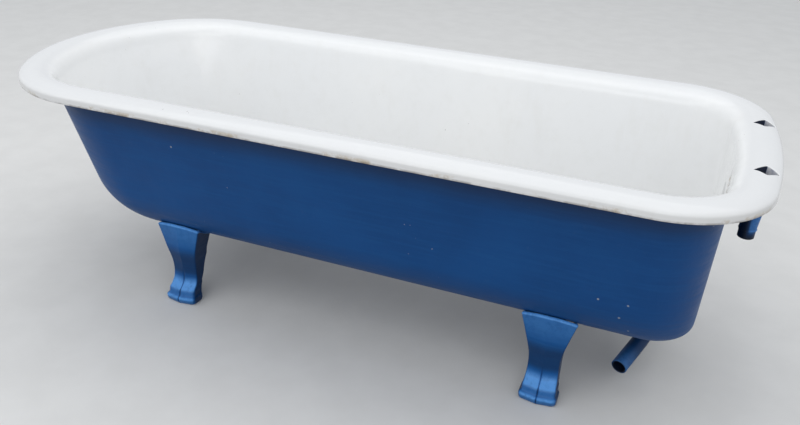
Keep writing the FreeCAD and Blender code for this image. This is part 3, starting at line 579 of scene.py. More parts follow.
def enamel_material():
    p = Paint("white_enamel")
    wear_stain_and_light, _ = p.tint()
    mottle = p.noise(34, 5, 0.6)
    tone = p.blend(p.shade(p.noise(2.2, 3), 0.3, 0.7), (0.845, 0.85, 0.85), (0.88, 0.88, 0.87))
    tone = p.blend(p.shade(mottle, 0.45, 0.75, 0, 0.10), tone, (0.70, 0.69, 0.65))
    # Faint marks of water and limescale
    veil = p.noise(5.0, 6, 0.68, (2.6, 2.6, 0.8))
    tone = p.blend(p.shade(veil, 0.54, 0.74, 0, 0.12), tone, (0.70, 0.68, 0.63))
    # Painted shade: the rolled rim is made darker than the inside, to even out the stronger light on it
    height = p.node("SeparateXYZ", {0: p.place}).outputs[2]
    tone = p.blend(p.shade(height, 0.517, 0.529, 0, 0.75), tone, (0.715, 0.72, 0.725))
    # Rust weeps along the lip's lower edge
    weeps = p.shade(p.noise(15, 6, 0.68), 0.50, 0.64)
    stain = p.times(p.shade(wear_stain_and_light, 0.05, 0.95), weeps)
    tone = p.blend(p.times(stain, 0.7), tone, (0.46, 0.34, 0.17))
    edge = p.times(p.shade(wear_stain_and_light, 0.75, 1.0), p.shade(mottle, 0.35, 0.6))
    tone = p.blend(p.times(edge, 0.5), tone, (0.10, 0.075, 0.06))
    # Small chips show the dark ground coat
    chips = p.shade(p.noise(150, 2, 0.5), 0.755, 0.775)
    chipped = p.times(chips, p.shade(p.noise(5, 2, 0.5), 0.52, 0.60))
    tone = p.blend(p.times(chipped, 0.8), tone, (0.16, 0.14, 0.13))
    # Grey streaks where water has run by the overflow
    runs = p.shade(p.noise(1.0, 4, 0.6, (150, 150, 26)), 0.40, 0.60, 0.15, 0.85)
    tone = p.blend(p.times(p.spots(OVERFLOW_STAINS, 0.018), runs), tone, (0.22, 0.22, 0.22))
    scuffs = p.shade(p.noise(3.0, 6, 0.7, (6, 60, 60)), 0.35, 0.8, 0.12, 0.28)
    return p.surface({
        "Base Color": tone,
        "Roughness": p.maths("MAXIMUM", scuffs, p.times(stain, 0.5)),
        "Normal": p.dents((p.noise(9, 2, 0.4), 0.0012), (p.noise(110, 2, 0.5), 0.00005)),
        "Specular IOR Level": 0.5,
        "Coat Weight": 0.25,
        "Coat Roughness": 0.06,
    })


# Places in metres where the paint of the near side has chipped
BODY_CHIPS = [
    (-0.3279, -0.2881, 0.4198), (0.5780, -0.2662, 0.2840), (0.6313, -0.2658, 0.2840),
    (0.6200, -0.2599, 0.2508), (0.6395, -0.2432, 0.2169), (0.6955, -0.2554, 0.2401),
]


def blue_paint(name, deep, mid, pale, bare_lit_colour, grime_shade_colour, gloss, chips=()):
    """Brushed paint on sand-cast iron, with bare iron where it has chipped. Above 0 the mesh's tint
    turns it bare or paints light on it, and below 0 it adds grime or painted shade.
    """
    p = Paint(name)
    wear_stain_and_light, grime_and_shade = p.tint()
    strokes = p.noise(4.0, 6, 0.6, (2.2, 2.2, 34))
    tone = p.blend(p.shade(p.noise(4.5, 5, 0.6), 0.3, 0.72), deep, mid)
    tone = p.blend(p.shade(strokes, 0.40, 0.72, 0, 0.30), tone, pale)
    grit = p.shade(p.noise(95, 5, 0.65), 0.25, 0.60, 0.55, 1)
    tone = p.blend(p.times(wear_stain_and_light, grit), tone, bare_lit_colour)
    tone = p.blend(p.times(grime_and_shade, 0.9), tone, grime_shade_colour)
    dust = p.shade(p.noise(70, 5, 0.7), 0.60, 0.84, 0, 0.10)
    tone = p.blend(dust, tone, (0.16, 0.19, 0.24))
    specks = p.shade(p.noise(120, 1, 0.4), 0.775, 0.79)
    chipped = p.times(specks, p.shade(p.noise(7, 2, 0.5), 0.58, 0.64))
    if chips:
        chipped = p.maths("MAXIMUM", chipped, p.spots(chips, 0.0021))
    pits, sand = p.noise(60, 3, 0.5), p.noise(420, 3, 0.65)
    layers = ((p.noise(11, 2, 0.45), 0.0022), (pits, 0.00035), (strokes, 0.00018), (sand, 0.00012))
    return p.surface({
        "Base Color": p.blend(p.times(chipped, 0.85), tone, (0.36, 0.38, 0.41)),
        "Roughness": p.shade(strokes, 0.3, 0.75, gloss, gloss + 0.16),
        "Normal": p.dents(*layers),
        "Specular IOR Level": 0.22,
    })


def stained(name, stain, low, high, clean, dull, rough, metal, lost, grain, depth):
    """A material whose stains change its colour, its roughness and how metallic it is."""
    p = Paint(name)
    share = p.shade(p.noise(*stain), low, high)
    return p.surface({
        "Base Color": p.blend(share, clean, dull),
        "Roughness": p.shade(share, 0, 1, *rough),
        "Metallic": p.maths("SUBTRACT", metal, p.times(share, lost)) if lost else metal,
        "Normal": p.dents((p.noise(*grain), depth)),
    })


def chrome_material():
    p = Paint("chromed_brass")
    pits = p.times(p.shade(p.noise(300, 4, 0.6), 0.60, 0.70), 0.5)
    return p.surface({
        "Base Color": p.blend(pits, (0.78, 0.78, 0.78), (0.36, 0.33, 0.28)),
        "Roughness": p.shade(p.noise(90, 4, 0.6), 0.3, 0.75, 0.06, 0.20),
        "Metallic": 1.0,
        "Normal": p.dents((p.noise(45, 2, 0.5), 0.00004)),
    })


MATERIALS = {
    "white_enamel": enamel_material(),
    "blue_iron": blue_paint(
        "blue_iron", (0.0038, 0.060, 0.218), (0.006, 0.076, 0.264), (0.016, 0.105, 0.310),
        (0.68, 0.68, 0.69), (0.018, 0.018, 0.024), 0.40, BODY_CHIPS,
    ),
    "blue_foot": blue_paint(
        "blue_foot", (0.005, 0.074, 0.262), (0.008, 0.098, 0.325), (0.022, 0.138, 0.390),
        (0.100, 0.330, 0.760), (0.0013, 0.013, 0.045), 0.30,
    ),
    "blue_pipe": blue_paint(
        "blue_pipe", (0.002, 0.026, 0.090), (0.003, 0.036, 0.122), (0.008, 0.052, 0.160),
        (0.075, 0.26, 0.66), (0.003, 0.006, 0.014), 0.38,
    ),
    "dark_steel": stained(
        "dark_steel", (160, 6, 0.7), 0.46, 0.62, (0.30, 0.29, 0.28), (0.17, 0.085, 0.045),
        (0.38, 0.82), 0.85, 0.75, (700, 3, 0.6), 0.0001,
    ),
    "bare_brass": stained(
        "bare_brass", (60, 5, 0.65), 0.35, 0.68, (0.62, 0.47, 0.23), (0.30, 0.21, 0.11),
        (0.26, 0.5), 1.0, 0, (500, 3, 0.6), 0.00006,
    ),
    "chromed_brass": chrome_material(),
    "black_rubber": stained(
        "black_rubber", (50, 5, 0.65), 0.4, 0.75, (0.022, 0.022, 0.023), (0.075, 0.073, 0.07),
        (0.5, 0.72), 0.0, 0, (900, 2, 0.5), 0.00005,
    ),
}

# The tub's pieces

# Insets and drops round the lip's edge: the enamel's, with its tint, and the iron's
ENAMEL_LIP = (
    (0, 17, 0.15), (0, 19, 0.4), (0, 22.5, 0.8), (0, 26.0, 1), (0.2, 26.6, 1), (0.75, 27.0, 1),
    (1.3, 26.8, 1), (1.5, 26.3, 1),
)
IRON_LIP = ((1.5, 25.4), (2.2, 26.4), (4.5, 26.9), (6.6, 26.6), (7.4, 25.6), (7.5, 23))


def build_enamel():
    form = Form()
    top_lip, top_rims = shell_skin(form, SKIN)
    low_lip, low_rims = shell_skin(form, IRON)
    edge = [form.add(rim_row(inset, drop), tint) for inset, drop, tint in ENAMEL_LIP]
    form.strips([top_lip, *edge, low_lip])
    for name, rim in top_rims.items():
        form.strip(rim, low_rims[name])
    form.piece("enamel_coat", "tub", "white_enamel", ("enamel_lining",), 40)


def side_height(reach):
    """Height of the shell's outside where its side stands at a reach."""
    angle, radius = radians(WALLS["side"][0]), WALLS["side"][1]
    tangent = BODY_Z + radius * (1 - sin(angle))
    whole = radius * cos(angle)
    centre = HALF_WIDTH - WALL_INSET - (WALL_TOP - tangent) * tan(angle) - whole
    curve = BODY_Z + radius - sqrt(radius ** 2 - min(max(reach - centre, 0), whole) ** 2)
    return curve + max(reach - centre - whole, 0) / tan(angle)


def boss_outline(grow):
    """The overflow boss's outline: a disc with an ear on each side."""
    points = []
    for d in circle(1, 160):
        along, off = EAR_OUT * np.abs(d)
        reach = BOSS_RADIUS
        if off < EAR_RADIUS:
            reach = max(reach, along + sqrt(EAR_RADIUS ** 2 - off ** 2))
        points.append(d * (reach + grow))
    for _ in range(3):
        points = (np.roll(points, 1, 0) + 2 * np.array(points) + np.roll(points, -1, 0)) / 4
    return points + (0, OVERFLOW_Z)


def build_casting():
    form = Form()
    in_lip, in_rims = shell_skin(form, IRON)
    out_lip, out_rims = shell_skin(form, 0.0)
    # Painted shade: the shell darkens towards the underside of the lip
    z = np.array(form.points)[:, 2]
    form.tints = (-0.60 * shade_step(z, 420, 474) - 0.40 * shade_step(z, 466, 481)).tolist()
    form.strips([in_lip, *(form.add(rim_row(*step)) for step in IRON_LIP), out_lip])
    form.strip(in_rims["waste"], out_rims["waste"])
    # The tap holes run on through their pads to the pads' flat undersides
    for name, side in SIDES:
        rings = [out_rims["tap_" + name]]
        for grow, rise in ((0, 2.0), (-0.6, 0.6), (-2.0, 0)):
            rings.append(form.add(level(pad_outline(side, grow), PAD_Z + rise)))
        form.strips(rings)
        hole = kept_inside(square_hole(0) + (TAP_HOLE_X, side * TAP_HOLE_Y), SKIN + 3.4)
        low, high = form.add(level(hole, PAD_Z)), in_rims["tap_" + name]
        form.patch(rings[-1], [low], LEVEL)
        form.strip(low, high)
        # The tap holes' walls are bare grey iron on their +X side, with painted shade on the other side
        for i in low + high:
            form.tints[i] = 1 if form.points[i][0] > TAP_HOLE_X + 1 else -1
    # The overflow boss, with the holes running on to its face
    edge = form.add(upright(boss_outline(-1.2), BOSS_FACE_X))
    rims = []
    for number, spot in enumerate(OVERFLOW_SPOTS):
        flat = circle(OVERFLOW_HOLE, 28) + spot + (0, OVERFLOW_Z)
        rims.append(form.add(upright(flat, BOSS_FACE_X), -1))
        high = in_rims["overflow_%d" % number]
        form.strip(high, rims[-1])
        for i in high:
            form.tints[i] = -1
    screw_bore, bore_depth = 3.1, 8.4
    for y in (-EAR_OUT, EAR_OUT):
        flat = circle(screw_bore, 20) + (y, OVERFLOW_Z)
        rims.append(form.add(upright(flat, BOSS_FACE_X)))
        floor = form.add(upright(flat, BOSS_FACE_X - bore_depth))
        form.strip(rims[-1], floor)
        form.face(floor)
    form.patch(edge, rims, UPRIGHT)
    rings = [edge]
    for grow, back in ((-0.35, 0.4), (0, 1.2)):
        rings.append(form.add(upright(boss_outline(grow), BOSS_FACE_X - back)))
    for wide, down in edge_steps(6):
        flat = boss_outline(BOSS_FILLET * down)
        rings.append(form.add([
            (tap_wall_x(y, z, 0.0) - 0.3 + BOSS_FILLET * wide, y, z) for y, z in flat
        ]))
    form.strips(rings)
    # Pads for the feet, with blind bores for the studs
    stud_bore, bore_end = 5.1, 168.4
    for spot in STUDS:
        hole, end = [
            form.add(level(circle(stud_bore, 24) + spot, z)) for z in (FOOT_PAD_Z, bore_end)
        ]
        form.strip(hole, end)
        form.face(end)
        rings = []
        for inset, rise in ((1.2, 0), (0.3, 0.4), (0, 1.2)):
            flat = circle(FOOT_PAD_RADIUS - inset, 48) + spot
            rings.append(form.add(level(flat, FOOT_PAD_Z + rise)))
        form.patch(rings[0], [hole], LEVEL)
        for turn in np.linspace(0, QUARTER, 6):
            wide, down = [FOOT_PAD_FILLET * (1 - f(turn)) for f in (sin, cos)]
            ring = []
            for x, y in circle(FOOT_PAD_RADIUS + down, 48) + spot:
                foot = side_height(abs(y) - SIDE_LEAN * spot[0]) + 0.3
                ring.append((x, y, max(foot - wide, FOOT_PAD_Z + 1.2 + 0.1 * turn)))
            rings.append(form.add(ring))
        form.strips(rings)
    form.piece("tub_shell", "tub", "blue_iron", ("tub_casting",), 40)


# Feet. A foot's own frame has the floor at 0, the shell's side at the foot's top at 0, and -Y outwards.

# Heights up a foot, with its width there, how far its ridge stands out, how much of a ridge it
# has, how deep its sides are, and the radius of its front corners
FOOT_PROFILE = np.array([
    (0.0, 74.0, 31.6, 6.0, 28.8, 10.0),
    (1.4, 76.4, 33.6, 6.0, 29.6, 10.5),
    (4.0, 78.0, 35.2, 6.0, 31.4, 11.0),
    (8.0, 78.8, 36.9, 6.0, 35.2, 11.0),
    (12.0, 78.8, 37.8, 6.0, 36.2, 11.0),
    (15.0, 78.5, 38.0, 6.0, 36.6, 11.0),
    (16.6, 77.6, 37.5, 6.0, 36.4, 10.6),
    (17.8, 75.4, 35.6, 6.0, 35.2, 10.0),
    (18.8, 73.2, 33.2, 6.0, 33.6, 9.4),
    (20.0, 71.8, 31.4, 6.0, 32.6, 9.0),
    (22.0, 71.2, 30.3, 6.0, 32.2, 8.8),
    (26.0, 70.8, 29.3, 6.0, 32.2, 8.4),
    (30.0, 70.7, 28.3, 6.0, 32.0, 8.0),
    (32.5, 70.3, 26.8, 6.0, 31.4, 7.4),
    (35.0, 68.2, 23.9, 6.0, 30.2, 6.6),
    (38.0, 67.0, 20.2, 6.0, 28.6, 6.0),
    (42.0, 67.2, 16.0, 6.0, 26.2, 5.4),
    (46.0, 66.2, 12.7, 6.0, 24.0, 5.0),
    (50.5, 65.4, 10.2, 6.0, 22.7, 4.7),
    (56.0, 64.9, 8.5, 6.0, 25.4, 4.4),
    (64.0, 64.4, 7.2, 6.0, 28.6, 4.2),
    (73.0, 64.1, 6.6, 6.0, 30.4, 4.0),
    (82.0, 64.3, 6.7, 6.0, 33.4, 3.8),
    (92.0, 65.0, 7.3, 6.0, 37.4, 3.7),
    (101.0, 66.6, 8.5, 6.0, 41.8, 3.6),
    (110.0, 69.4, 10.0, 6.0, 46.2, 3.5),
    (119.5, 72.8, 11.7, 5.9, 47.1, 3.4),
    (129.0, 76.7, 13.2, 5.7, 48.4, 3.3),
    (138.0, 81.0, 14.1, 5.6, 50.7, 3.2),
    (147.0, 85.7, 14.2, 5.4, 52.2, 3.1),
    (156.5, 90.6, 14.2, 5.1, 52.8, 3.0),
    (166.0, 95.8, 14.4, 4.8, 54.0, 3.0),
    (175.0, 101.0, 14.4, 4.4, 55.0, 3.0),
    (184.0, 106.0, 14.4, 3.9, 56.0, 3.0),
    (194.0, 111.4, 14.4, 3.4, 56.9, 3.0),
    (203.0, 115.6, 14.4, 3.0, 57.7, 3.0),
])
FOOT_TOP_Z = BODY_Z + 32.0
FOOT_WIDTH = 112.0
FOOT_WALL, FOOT_SOLE, WELL_TOP = 6.5, 8.0, 38.0
CROWN_RISE = 5.0
CROWN_RADIUS = (FOOT_WIDTH ** 2 / 4 + CROWN_RISE ** 2) / (2 * CROWN_RISE)
GROOVE_DEPTH, GROOVE_SPREAD = 2.4, 2.0
LEVEL_TOP = 150.0
STUD_INSET = 46.0


FACET_SHARES = np.array([
    0, 0.02, 0.04, 0.06, 0.085, 0.12, 0.18, 0.27, 0.4, 0.54, 0.68, 0.82, 0.92, 1.0,
])
TOP_EDGE = 5.0
# The share of the way across the ledge, the drop below its top, and the tint, which paints light on the
# top edge
LEDGE_STEPS = (
    (0.06, 3.4, 0.9), (0.16, 2.0, 1), (0.30, 1.0, 1), (0.5, 0.35, 1), (0.75, 0, 1), (0.92, 0, 0.8),
    (1, 0.6, 0),
)
SIDE_SHADE = 0.85
GROOVE_SHARE = 0.05
TONGUE_THICK, TONGUE_HALF, TONGUE_START, TONGUE_END = 8.0, 23.0, -3.0, STUD_INSET + 20.0
TONGUE_CORNER = 6.0
TONGUE_LOW = FOOT_PAD_Z - TONGUE_THICK
GUSSET_HALF = FOOT_WALL / 2
TOP_CLEARANCE, SIDE_CLEARANCE = 0.8, 0.6
FOOT_SIDE = wall_reach(FOOT_TOP_Z, HALF_WIDTH, "side", 0)


@lru_cache(maxsize=None)
def foot_outline(height, inset):
    """Half of a level section, from its ridge round the front corner to the back of its side."""
    width, front, ridge, depth, corner = [
        np.interp(height, FOOT_PROFILE[:, 0], FOOT_PROFILE[:, k]) for k in range(1, 6)
    ]
    back = ridge - front + depth
    half = width / 2 - inset
    tip = inset - front
    slope = ridge / (width / 2)
    stretch = hypot(1, slope)
    radius = max(corner - inset, 1.2)
    centre_x = half - radius
    centre_y = tip + slope * centre_x + radius * stretch
    facet = FACET_SHARES * (centre_x + radius * slope / stretch)
    turn = np.linspace(atan2(-1, slope), 0, 8)[1:]
    rise = np.linspace(0, 1, 12)[1:]
    points = np.concatenate([
        np.c_[facet, tip + slope * facet],
        np.c_[centre_x + radius * np.cos(turn), centre_y + radius * np.sin(turn)],
        np.c_[np.full(len(rise), half), centre_y + (back - centre_y) * rise],
    ])
    if inset == 0:
        run = GROOVE_DEPTH * band(height, 3, 9, 58, 88)
        points[:, 1] += run * np.exp(-(points[:, 0] / GROOVE_SPREAD) ** 2)
    return points


def shell_gap(height):
    """Where the shell's side stands in a foot's frame at a height above its bottom."""
    return FOOT_SIDE - wall_reach(height, HALF_WIDTH, "side", 0)


def foot_tops():
    """The height of each column of the outline: under the crown, and clear of the shell."""
    tops = []
    heights = np.arange(LEVEL_TOP, 203, 0.25)
    outlines = np.array([foot_outline(height, 0) for height in heights])
    limits = np.array([shell_gap(height) if height > BODY_Z else 1e6 for height in heights])
    half = FOOT_WIDTH / 2 + 2
    for x, y in outlines.transpose(1, 2, 0):
        fall = CROWN_RADIUS - np.sqrt(CROWN_RADIUS ** 2 - np.minimum(x, half) ** 2)
        bad = (heights > FOOT_TOP_Z + CROWN_RISE - fall) | (y + TOP_CLEARANCE > limits)
        tops.append(heights[np.argmax(bad)] if bad.any() else heights[-1])
    tops = np.array(tops)
    for _ in range(2):
        tops[1:-1] = (tops[:-2] + 2 * tops[1:-1] + tops[2:]) / 4
    return tops


def foot_light_and_shade(height):
    """Painted light on the toe, the instep and the knee, and painted shade at the ankle."""
    pale = 0.35 - 0.25 * shade_step(height, 30, 60) + 0.20 * shade_step(height, 145, 180)
    pale += 0.60 * band(height, 10, 15, 17.5, 19) + 0.85 * band(height, 30, 36, 44, 62)
    dark = 0.10 * band(height, 18.5, 20, 26, 31) + 0.80 * band(height, 58, 76, 112, 150)
    return float(pale - dark)


def foot_row(heights, inset):
    """A whole row of a foot's outside, or of its hollow where inset is the wall, with one height
    to each column of the half outline."""
    row = []
    for column, height in enumerate(heights):
        x, y = foot_outline(max(height, WELL_TOP) if inset else height, inset)[column]
        y = min(y, foot_outline(height, 0)[-1, 1])
        if height > BODY_Z:
            y = min(y, shell_gap(height) - SIDE_CLEARANCE)
        row.append((x, y, height))
    row = np.array(row)
    return np.concatenate([row[:0:-1] * (-1, 1, 1), row])


def build_foot(node, along, swing):
    form = Form()
    tops = foot_tops()
    count, facet = len(tops), len(FACET_SHARES)
    outer, inner = [], []
    # Painted shade on the sides
    shaded_side_share = shade_step(np.arange(count), facet + 1, facet + 7)
    levels = [*np.arange(0.0, 50, 1), *np.arange(50.0, LEVEL_TOP, 4)]
    rows = [np.full(count, height) for height in levels]
    rows += [LEVEL_TOP + (tops - TOP_EDGE - LEVEL_TOP) * share for share in np.linspace(0, 1, 14)]
    for heights in rows:
        height = float(np.median(heights))
        tint = foot_light_and_shade(height)
        ring = form.add(foot_row(heights, 0))
        # Painted shade in the groove down the ridge
        groove_shade = 1.2 * (1 - shade_step(height, 48, 75))
        for k, i in enumerate(ring):
            column = abs(k - count + 1)
            off_ridge = FACET_SHARES[min(column, facet - 1)] / GROOVE_SHARE
            here = tint - groove_shade * exp(-(off_ridge ** 2))
            form.tints[i] = here - (here + SIDE_SHADE) * shaded_side_share[column]
        outer.append(ring)
        if heights[0] >= FOOT_SOLE:
            # The hollow's inside is tinted dark: painted shade
            inner.append(form.add(foot_row(heights, FOOT_WALL), -0.4))
    # The rounded top edge, and the ledge to the shell
    last_out, last_in = foot_row(tops, 0), foot_row(tops, FOOT_WALL)
    ledge = []
    for share, drop, tint in LEDGE_STEPS:
        ring = last_out + (last_in - last_out) * share - (0, 0, drop)
        ledge.append(form.add(ring, tint))
    form.strips(outer + ledge + inner[::-1], closed=False)
    # The back edges of the sides, and the sole
    hollow_outer = outer[-len(inner):]
    sole = outer[: len(outer) - len(inner) + 1]
    for end in (0, -1):
        for k in range(len(inner) - 1):
            low, high = (hollow_outer[k], inner[k]), (inner[k + 1], hollow_outer[k + 1])
            form.face([ring[end] for ring in low + high])
        form.face([ring[end] for ring in [outer[-1], *ledge, inner[-1]]])
    for low, high in zip(sole, sole[1:]):
        form.face([low[0], low[-1], high[-1], high[0]])
    form.face(outer[0])
    form.face([sole[-1][0]] + inner[0] + [sole[-1][-1]])
    add_tongue(form)
    out = FOOT_SIDE + SIDE_LEAN * along
    form.points = [(along + swing * x, swing * (y - out), z) for x, y, z in form.points]
    form.piece("cast_" + node, "tub", "blue_foot", (node,), 32)


def add_tongue(form):
    """The tongue that the stud goes through, with a gusset under it."""
    low, high = TONGUE_LOW, FOOT_PAD_Z
    half = np.array([TONGUE_HALF, (TONGUE_END - TONGUE_START) / 2]) - TONGUE_CORNER
    corners = CORNERS * half + (0, (TONGUE_START + TONGUE_END) / 2)
    # The tongue and gusset are tinted dark: painted shade under the shell
    rings, holes = [], []
    for grow, height in (
        (-0.9, low), (-0.25, low + 0.25), (0, low + 0.9), (0, high - 0.9), (-0.25, high - 0.25),
        (-0.9, high),
    ):
        flat = rounded(corners, TONGUE_CORNER + grow, 6)
        rings.append(form.add(level(flat, height), -0.3))
    for grow, height in ((0.5, low), (0, low + 0.5), (0, high - 0.5), (0.5, high)):
        holes.append(form.add(level(circle(5.6 + grow, 24) + (0, STUD_INSET), height), -0.3))
    form.strips(rings)
    form.strips(holes)
    for k in (0, -1):
        form.patch(rings[k], [holes[k]], LEVEL)
    gusset = ((-3.0, low * 0.5), (-3.0, low + 1), (34.6, low + 1), (34.6, low - 1.5))
    form.bar(*(form.add(upright(gusset, x), -0.3) for x in (-GUSSET_HALF, GUSSET_HALF)))


# Fittings, turned or swept about their own lines

UP = (0, 0, 1)
OUT = (1, 0, 0)
BATH_FLOOR_Z = BODY_Z + SKIN
SEAL_TOP_Z = BATH_FLOOR_Z + 2.0
SHANK_LENGTH = 60.0
SHANK_END_Z = SEAL_TOP_Z - SHANK_LENGTH
WASTE_BORE, FLANGE_HIGH = 17.5, 4.0


def at_waste(height):
    return WASTE_X, 0, height


def turned(form, centre, along, profile, count=48, tint=0.0, closed=True, bored=0):
    """Rings about a line through centre. The profile gives radius and distance along it, and its
    last bored rings are tinted dark: painted shade in the bore."""
    along = Vector(along)
    side = Vector((1, 0, 0)) if along.z else along.orthogonal().normalized()
    other = along.cross(side)
    rings = []
    for k, (radius, far) in enumerate(profile):
        ring = []
        for turn in np.linspace(0, 2 * pi, count, endpoint=False):
            reach = radius(turn) if callable(radius) else radius
            spoke = side * (reach * cos(turn)) + other * (reach * sin(turn))
            ring.append(Vector(centre) + along * far + spoke)
        rings.append(form.add(ring, tint if k < len(profile) - bored else -0.4))
    form.strips(rings)
    if closed:
        form.strip(rings[-1], rings[0])


def hexagon(corner, limit):
    """A hexagon's reach at an angle, no more than a limit, with its corners just broken."""
    flat = corner * cos(pi / 6)

    def reach(turn):
        off = (turn + pi / 6) % (pi / 3) - pi / 6
        return min(flat / cos(off), limit)

    return reach


def hex_nut(form, centre, along, corner, height, bores, tint=0.0):
    """A hexagon nut with chamfered ends. bores are radius and distance pairs down its hole."""
    flat = corner * cos(pi / 6)
    chamfer = (corner - flat) * 0.55
    profile = [(flat * 0.97, 0), (hexagon(corner, flat), 0)]
    for share in (0.35, 0.7, 1.0):
        limit = flat + (corner - flat) * share
        profile.append((hexagon(corner, limit), chamfer * share * share))
    profile += [(reach, height - far) for reach, far in profile[::-1]]
    turned(form, centre, along, profile + bores, 96, tint, bored=len(bores))


def thread(radius, low, high, pitch=1.5, depth=0.55):
    """Profile points of a thread's crests and roots from one end to the other."""
    steps = max(int(abs(high - low) / pitch), 1)
    run = (high - low) / steps
    profile = []
    for base in low + run * np.arange(steps):
        profile += [(radius - depth, base), (radius, base + run * 0.42), (radius, base + run * 0.58)]
    return profile + [(radius - depth, high)]


def build_bolts():
    studs, washers, nuts = Form(), Form(), Form()
    stud = [(0.01, -15), (3.6, -15), (4.3, -14.6), *thread(5.0, -14.1, 17.2), (4.4, 17.7), (0.01, 18)]
    washer = [
        (5.7, -1.9), (5.9, -2.0), (10.6, -2.0), (11, -1.7), (11, -0.3), (10.6, 0), (5.9, 0),
        (5.7, -0.1),
    ]
    bore = [(5.9, 8.0), (5.1, 7.2), (5.1, 0.8), (5.9, 0)]
    for x, y in STUDS:
        turned(studs, (x, y, TONGUE_LOW), UP, stud, 24, closed=False)
        turned(washers, (x, y, TONGUE_LOW), UP, washer, 40)
        hex_nut(nuts, (x, y, TONGUE_LOW - 10.0), UP, 9.8, 8.0, bore)
    studs.piece("stud_threads", "tub", "dark_steel", ("foot_studs",), 30)
    washers.piece("stud_washers", "tub", "dark_steel", ("foot_washers",), 30)
    nuts.piece("stud_nuts", "tub", "dark_steel", ("foot_nuts",), 20)


def build_waste():
    form = Form()
    end = -SHANK_LENGTH
    profile = [
        (20.9, 0), (34.8, 0), (35.0, 0.3), (34.6, 0.9), (32.6, 2.6), (31.4, 3.5), (30.6, 3.9),
        (29.6, FLANGE_HIGH), (22.2, FLANGE_HIGH), (21.3, 3.8), (20.7, 3.1), (17.7, -9.4),
        (WASTE_BORE, -10.4), (WASTE_BORE, end + 0.6), (17.9, end), (20.2, end),
        *thread(21.0, end + 0.8, -6, 1.8, 0.7),
    ]
    turned(form, at_waste(SEAL_TOP_Z), UP, profile, 72)
    # The crossed bars of the grid
    low, high, reach = SEAL_TOP_Z - 24.0, SEAL_TOP_Z - 20.0, WASTE_BORE + 0.3
    section = [(-1.5, low + 1), (-0.9, low), (0.9, low), (1.5, low + 1)]
    section += [(-side, low + high - height) for side, height in section]
    for turn in (0, QUARTER):
        along = np.array([cos(turn), sin(turn)])
        across = np.array([-along[1], along[0]])
        ends = []
        for far in (-reach, reach):
            flat = [along * far + across * side + (WASTE_X, 0) for side, _ in section]
            ends.append(form.add(np.c_[flat, [height for _, height in section]]))
        form.bar(*ends)
    form.piece("waste_outlet", "tub", "chromed_brass", ("waste_flange",), 30)
    for name, node, radius, low, high in (
        ("floor_seal", "waste_seal", 33.0, BATH_FLOOR_Z, SEAL_TOP_Z),
        ("under_gasket", "waste_gasket", 34.0, BODY_Z - 3.0, BODY_Z),
    ):
        form = Form()
        ring = [(21.4, low), (radius - 0.5, low), (radius, low + 0.5)]
        ring += [(far, low + high - height) for far, height in ring[::-1]]
        turned(form, at_waste(0), UP, ring, 72)
        form.piece(name, "tub", "black_rubber", (node,), 30)
    form = Form()
    bores = [(22.2, 12.0), (21.1, 11.0), (21.1, 1.0), (22.2, 0)]
    hex_nut(form, at_waste(BODY_Z - 15.0), UP, 33.0, 12.0, bores)
    form.piece("brass_backnut", "tub", "bare_brass", ("waste_backnut",), 20)
    form = Form()
    bores = [(22.0, 24.0), (21.1, 23.0), (21.1, 10.0), (24.4, 10.0), (24.4, 4.0), (17.4, 4.0)]
    bores.append((17.4, 0))
    hex_nut(form, at_waste(SHANK_END_Z - 10.0), UP, 31.0, 24.0, bores, 0.25)
    form.piece("trap_union", "tub", "blue_pipe", ("waste_union_nut",), 20)


def swept(form, line, sizes, count, tints, shade_facing=None):
    """Rings square to a line of points, with their sizes and tints. Shade is painted on the side
    that faces the direction given last."""
    line = [Vector(p) for p in line]
    rings = []
    side = Vector((0, 1, 0))
    for k, point in enumerate(line):
        before, after = line[max(k - 1, 0)], line[min(k + 1, len(line) - 1)]
        along = (after - before).normalized()
        side = (side - along * side.dot(along)).normalized()
        other = along.cross(side)
        ring = []
        for c, s in circle(sizes[k], count).tolist():
            ring.append(point + side * c + other * s)
        rings.append(form.add(ring, tints[k]))
        if shade_facing is not None:
            for i, spot in zip(rings[-1], ring):
                shaded = float(shade_step((spot - point).normalized().dot(shade_facing), 0.25, 0.7))
                form.tints[i] = tints[k] - (tints[k] + 1) * shaded
    form.strips(rings)
    return rings


def pipe(form, *walls):
    """A pipe from the lists for swept of its outside and its inside."""
    outer, inner = [swept(form, *wall) for wall in walls]
    form.strip(outer[0], inner[0])
    form.strip(outer[-1], inner[-1])


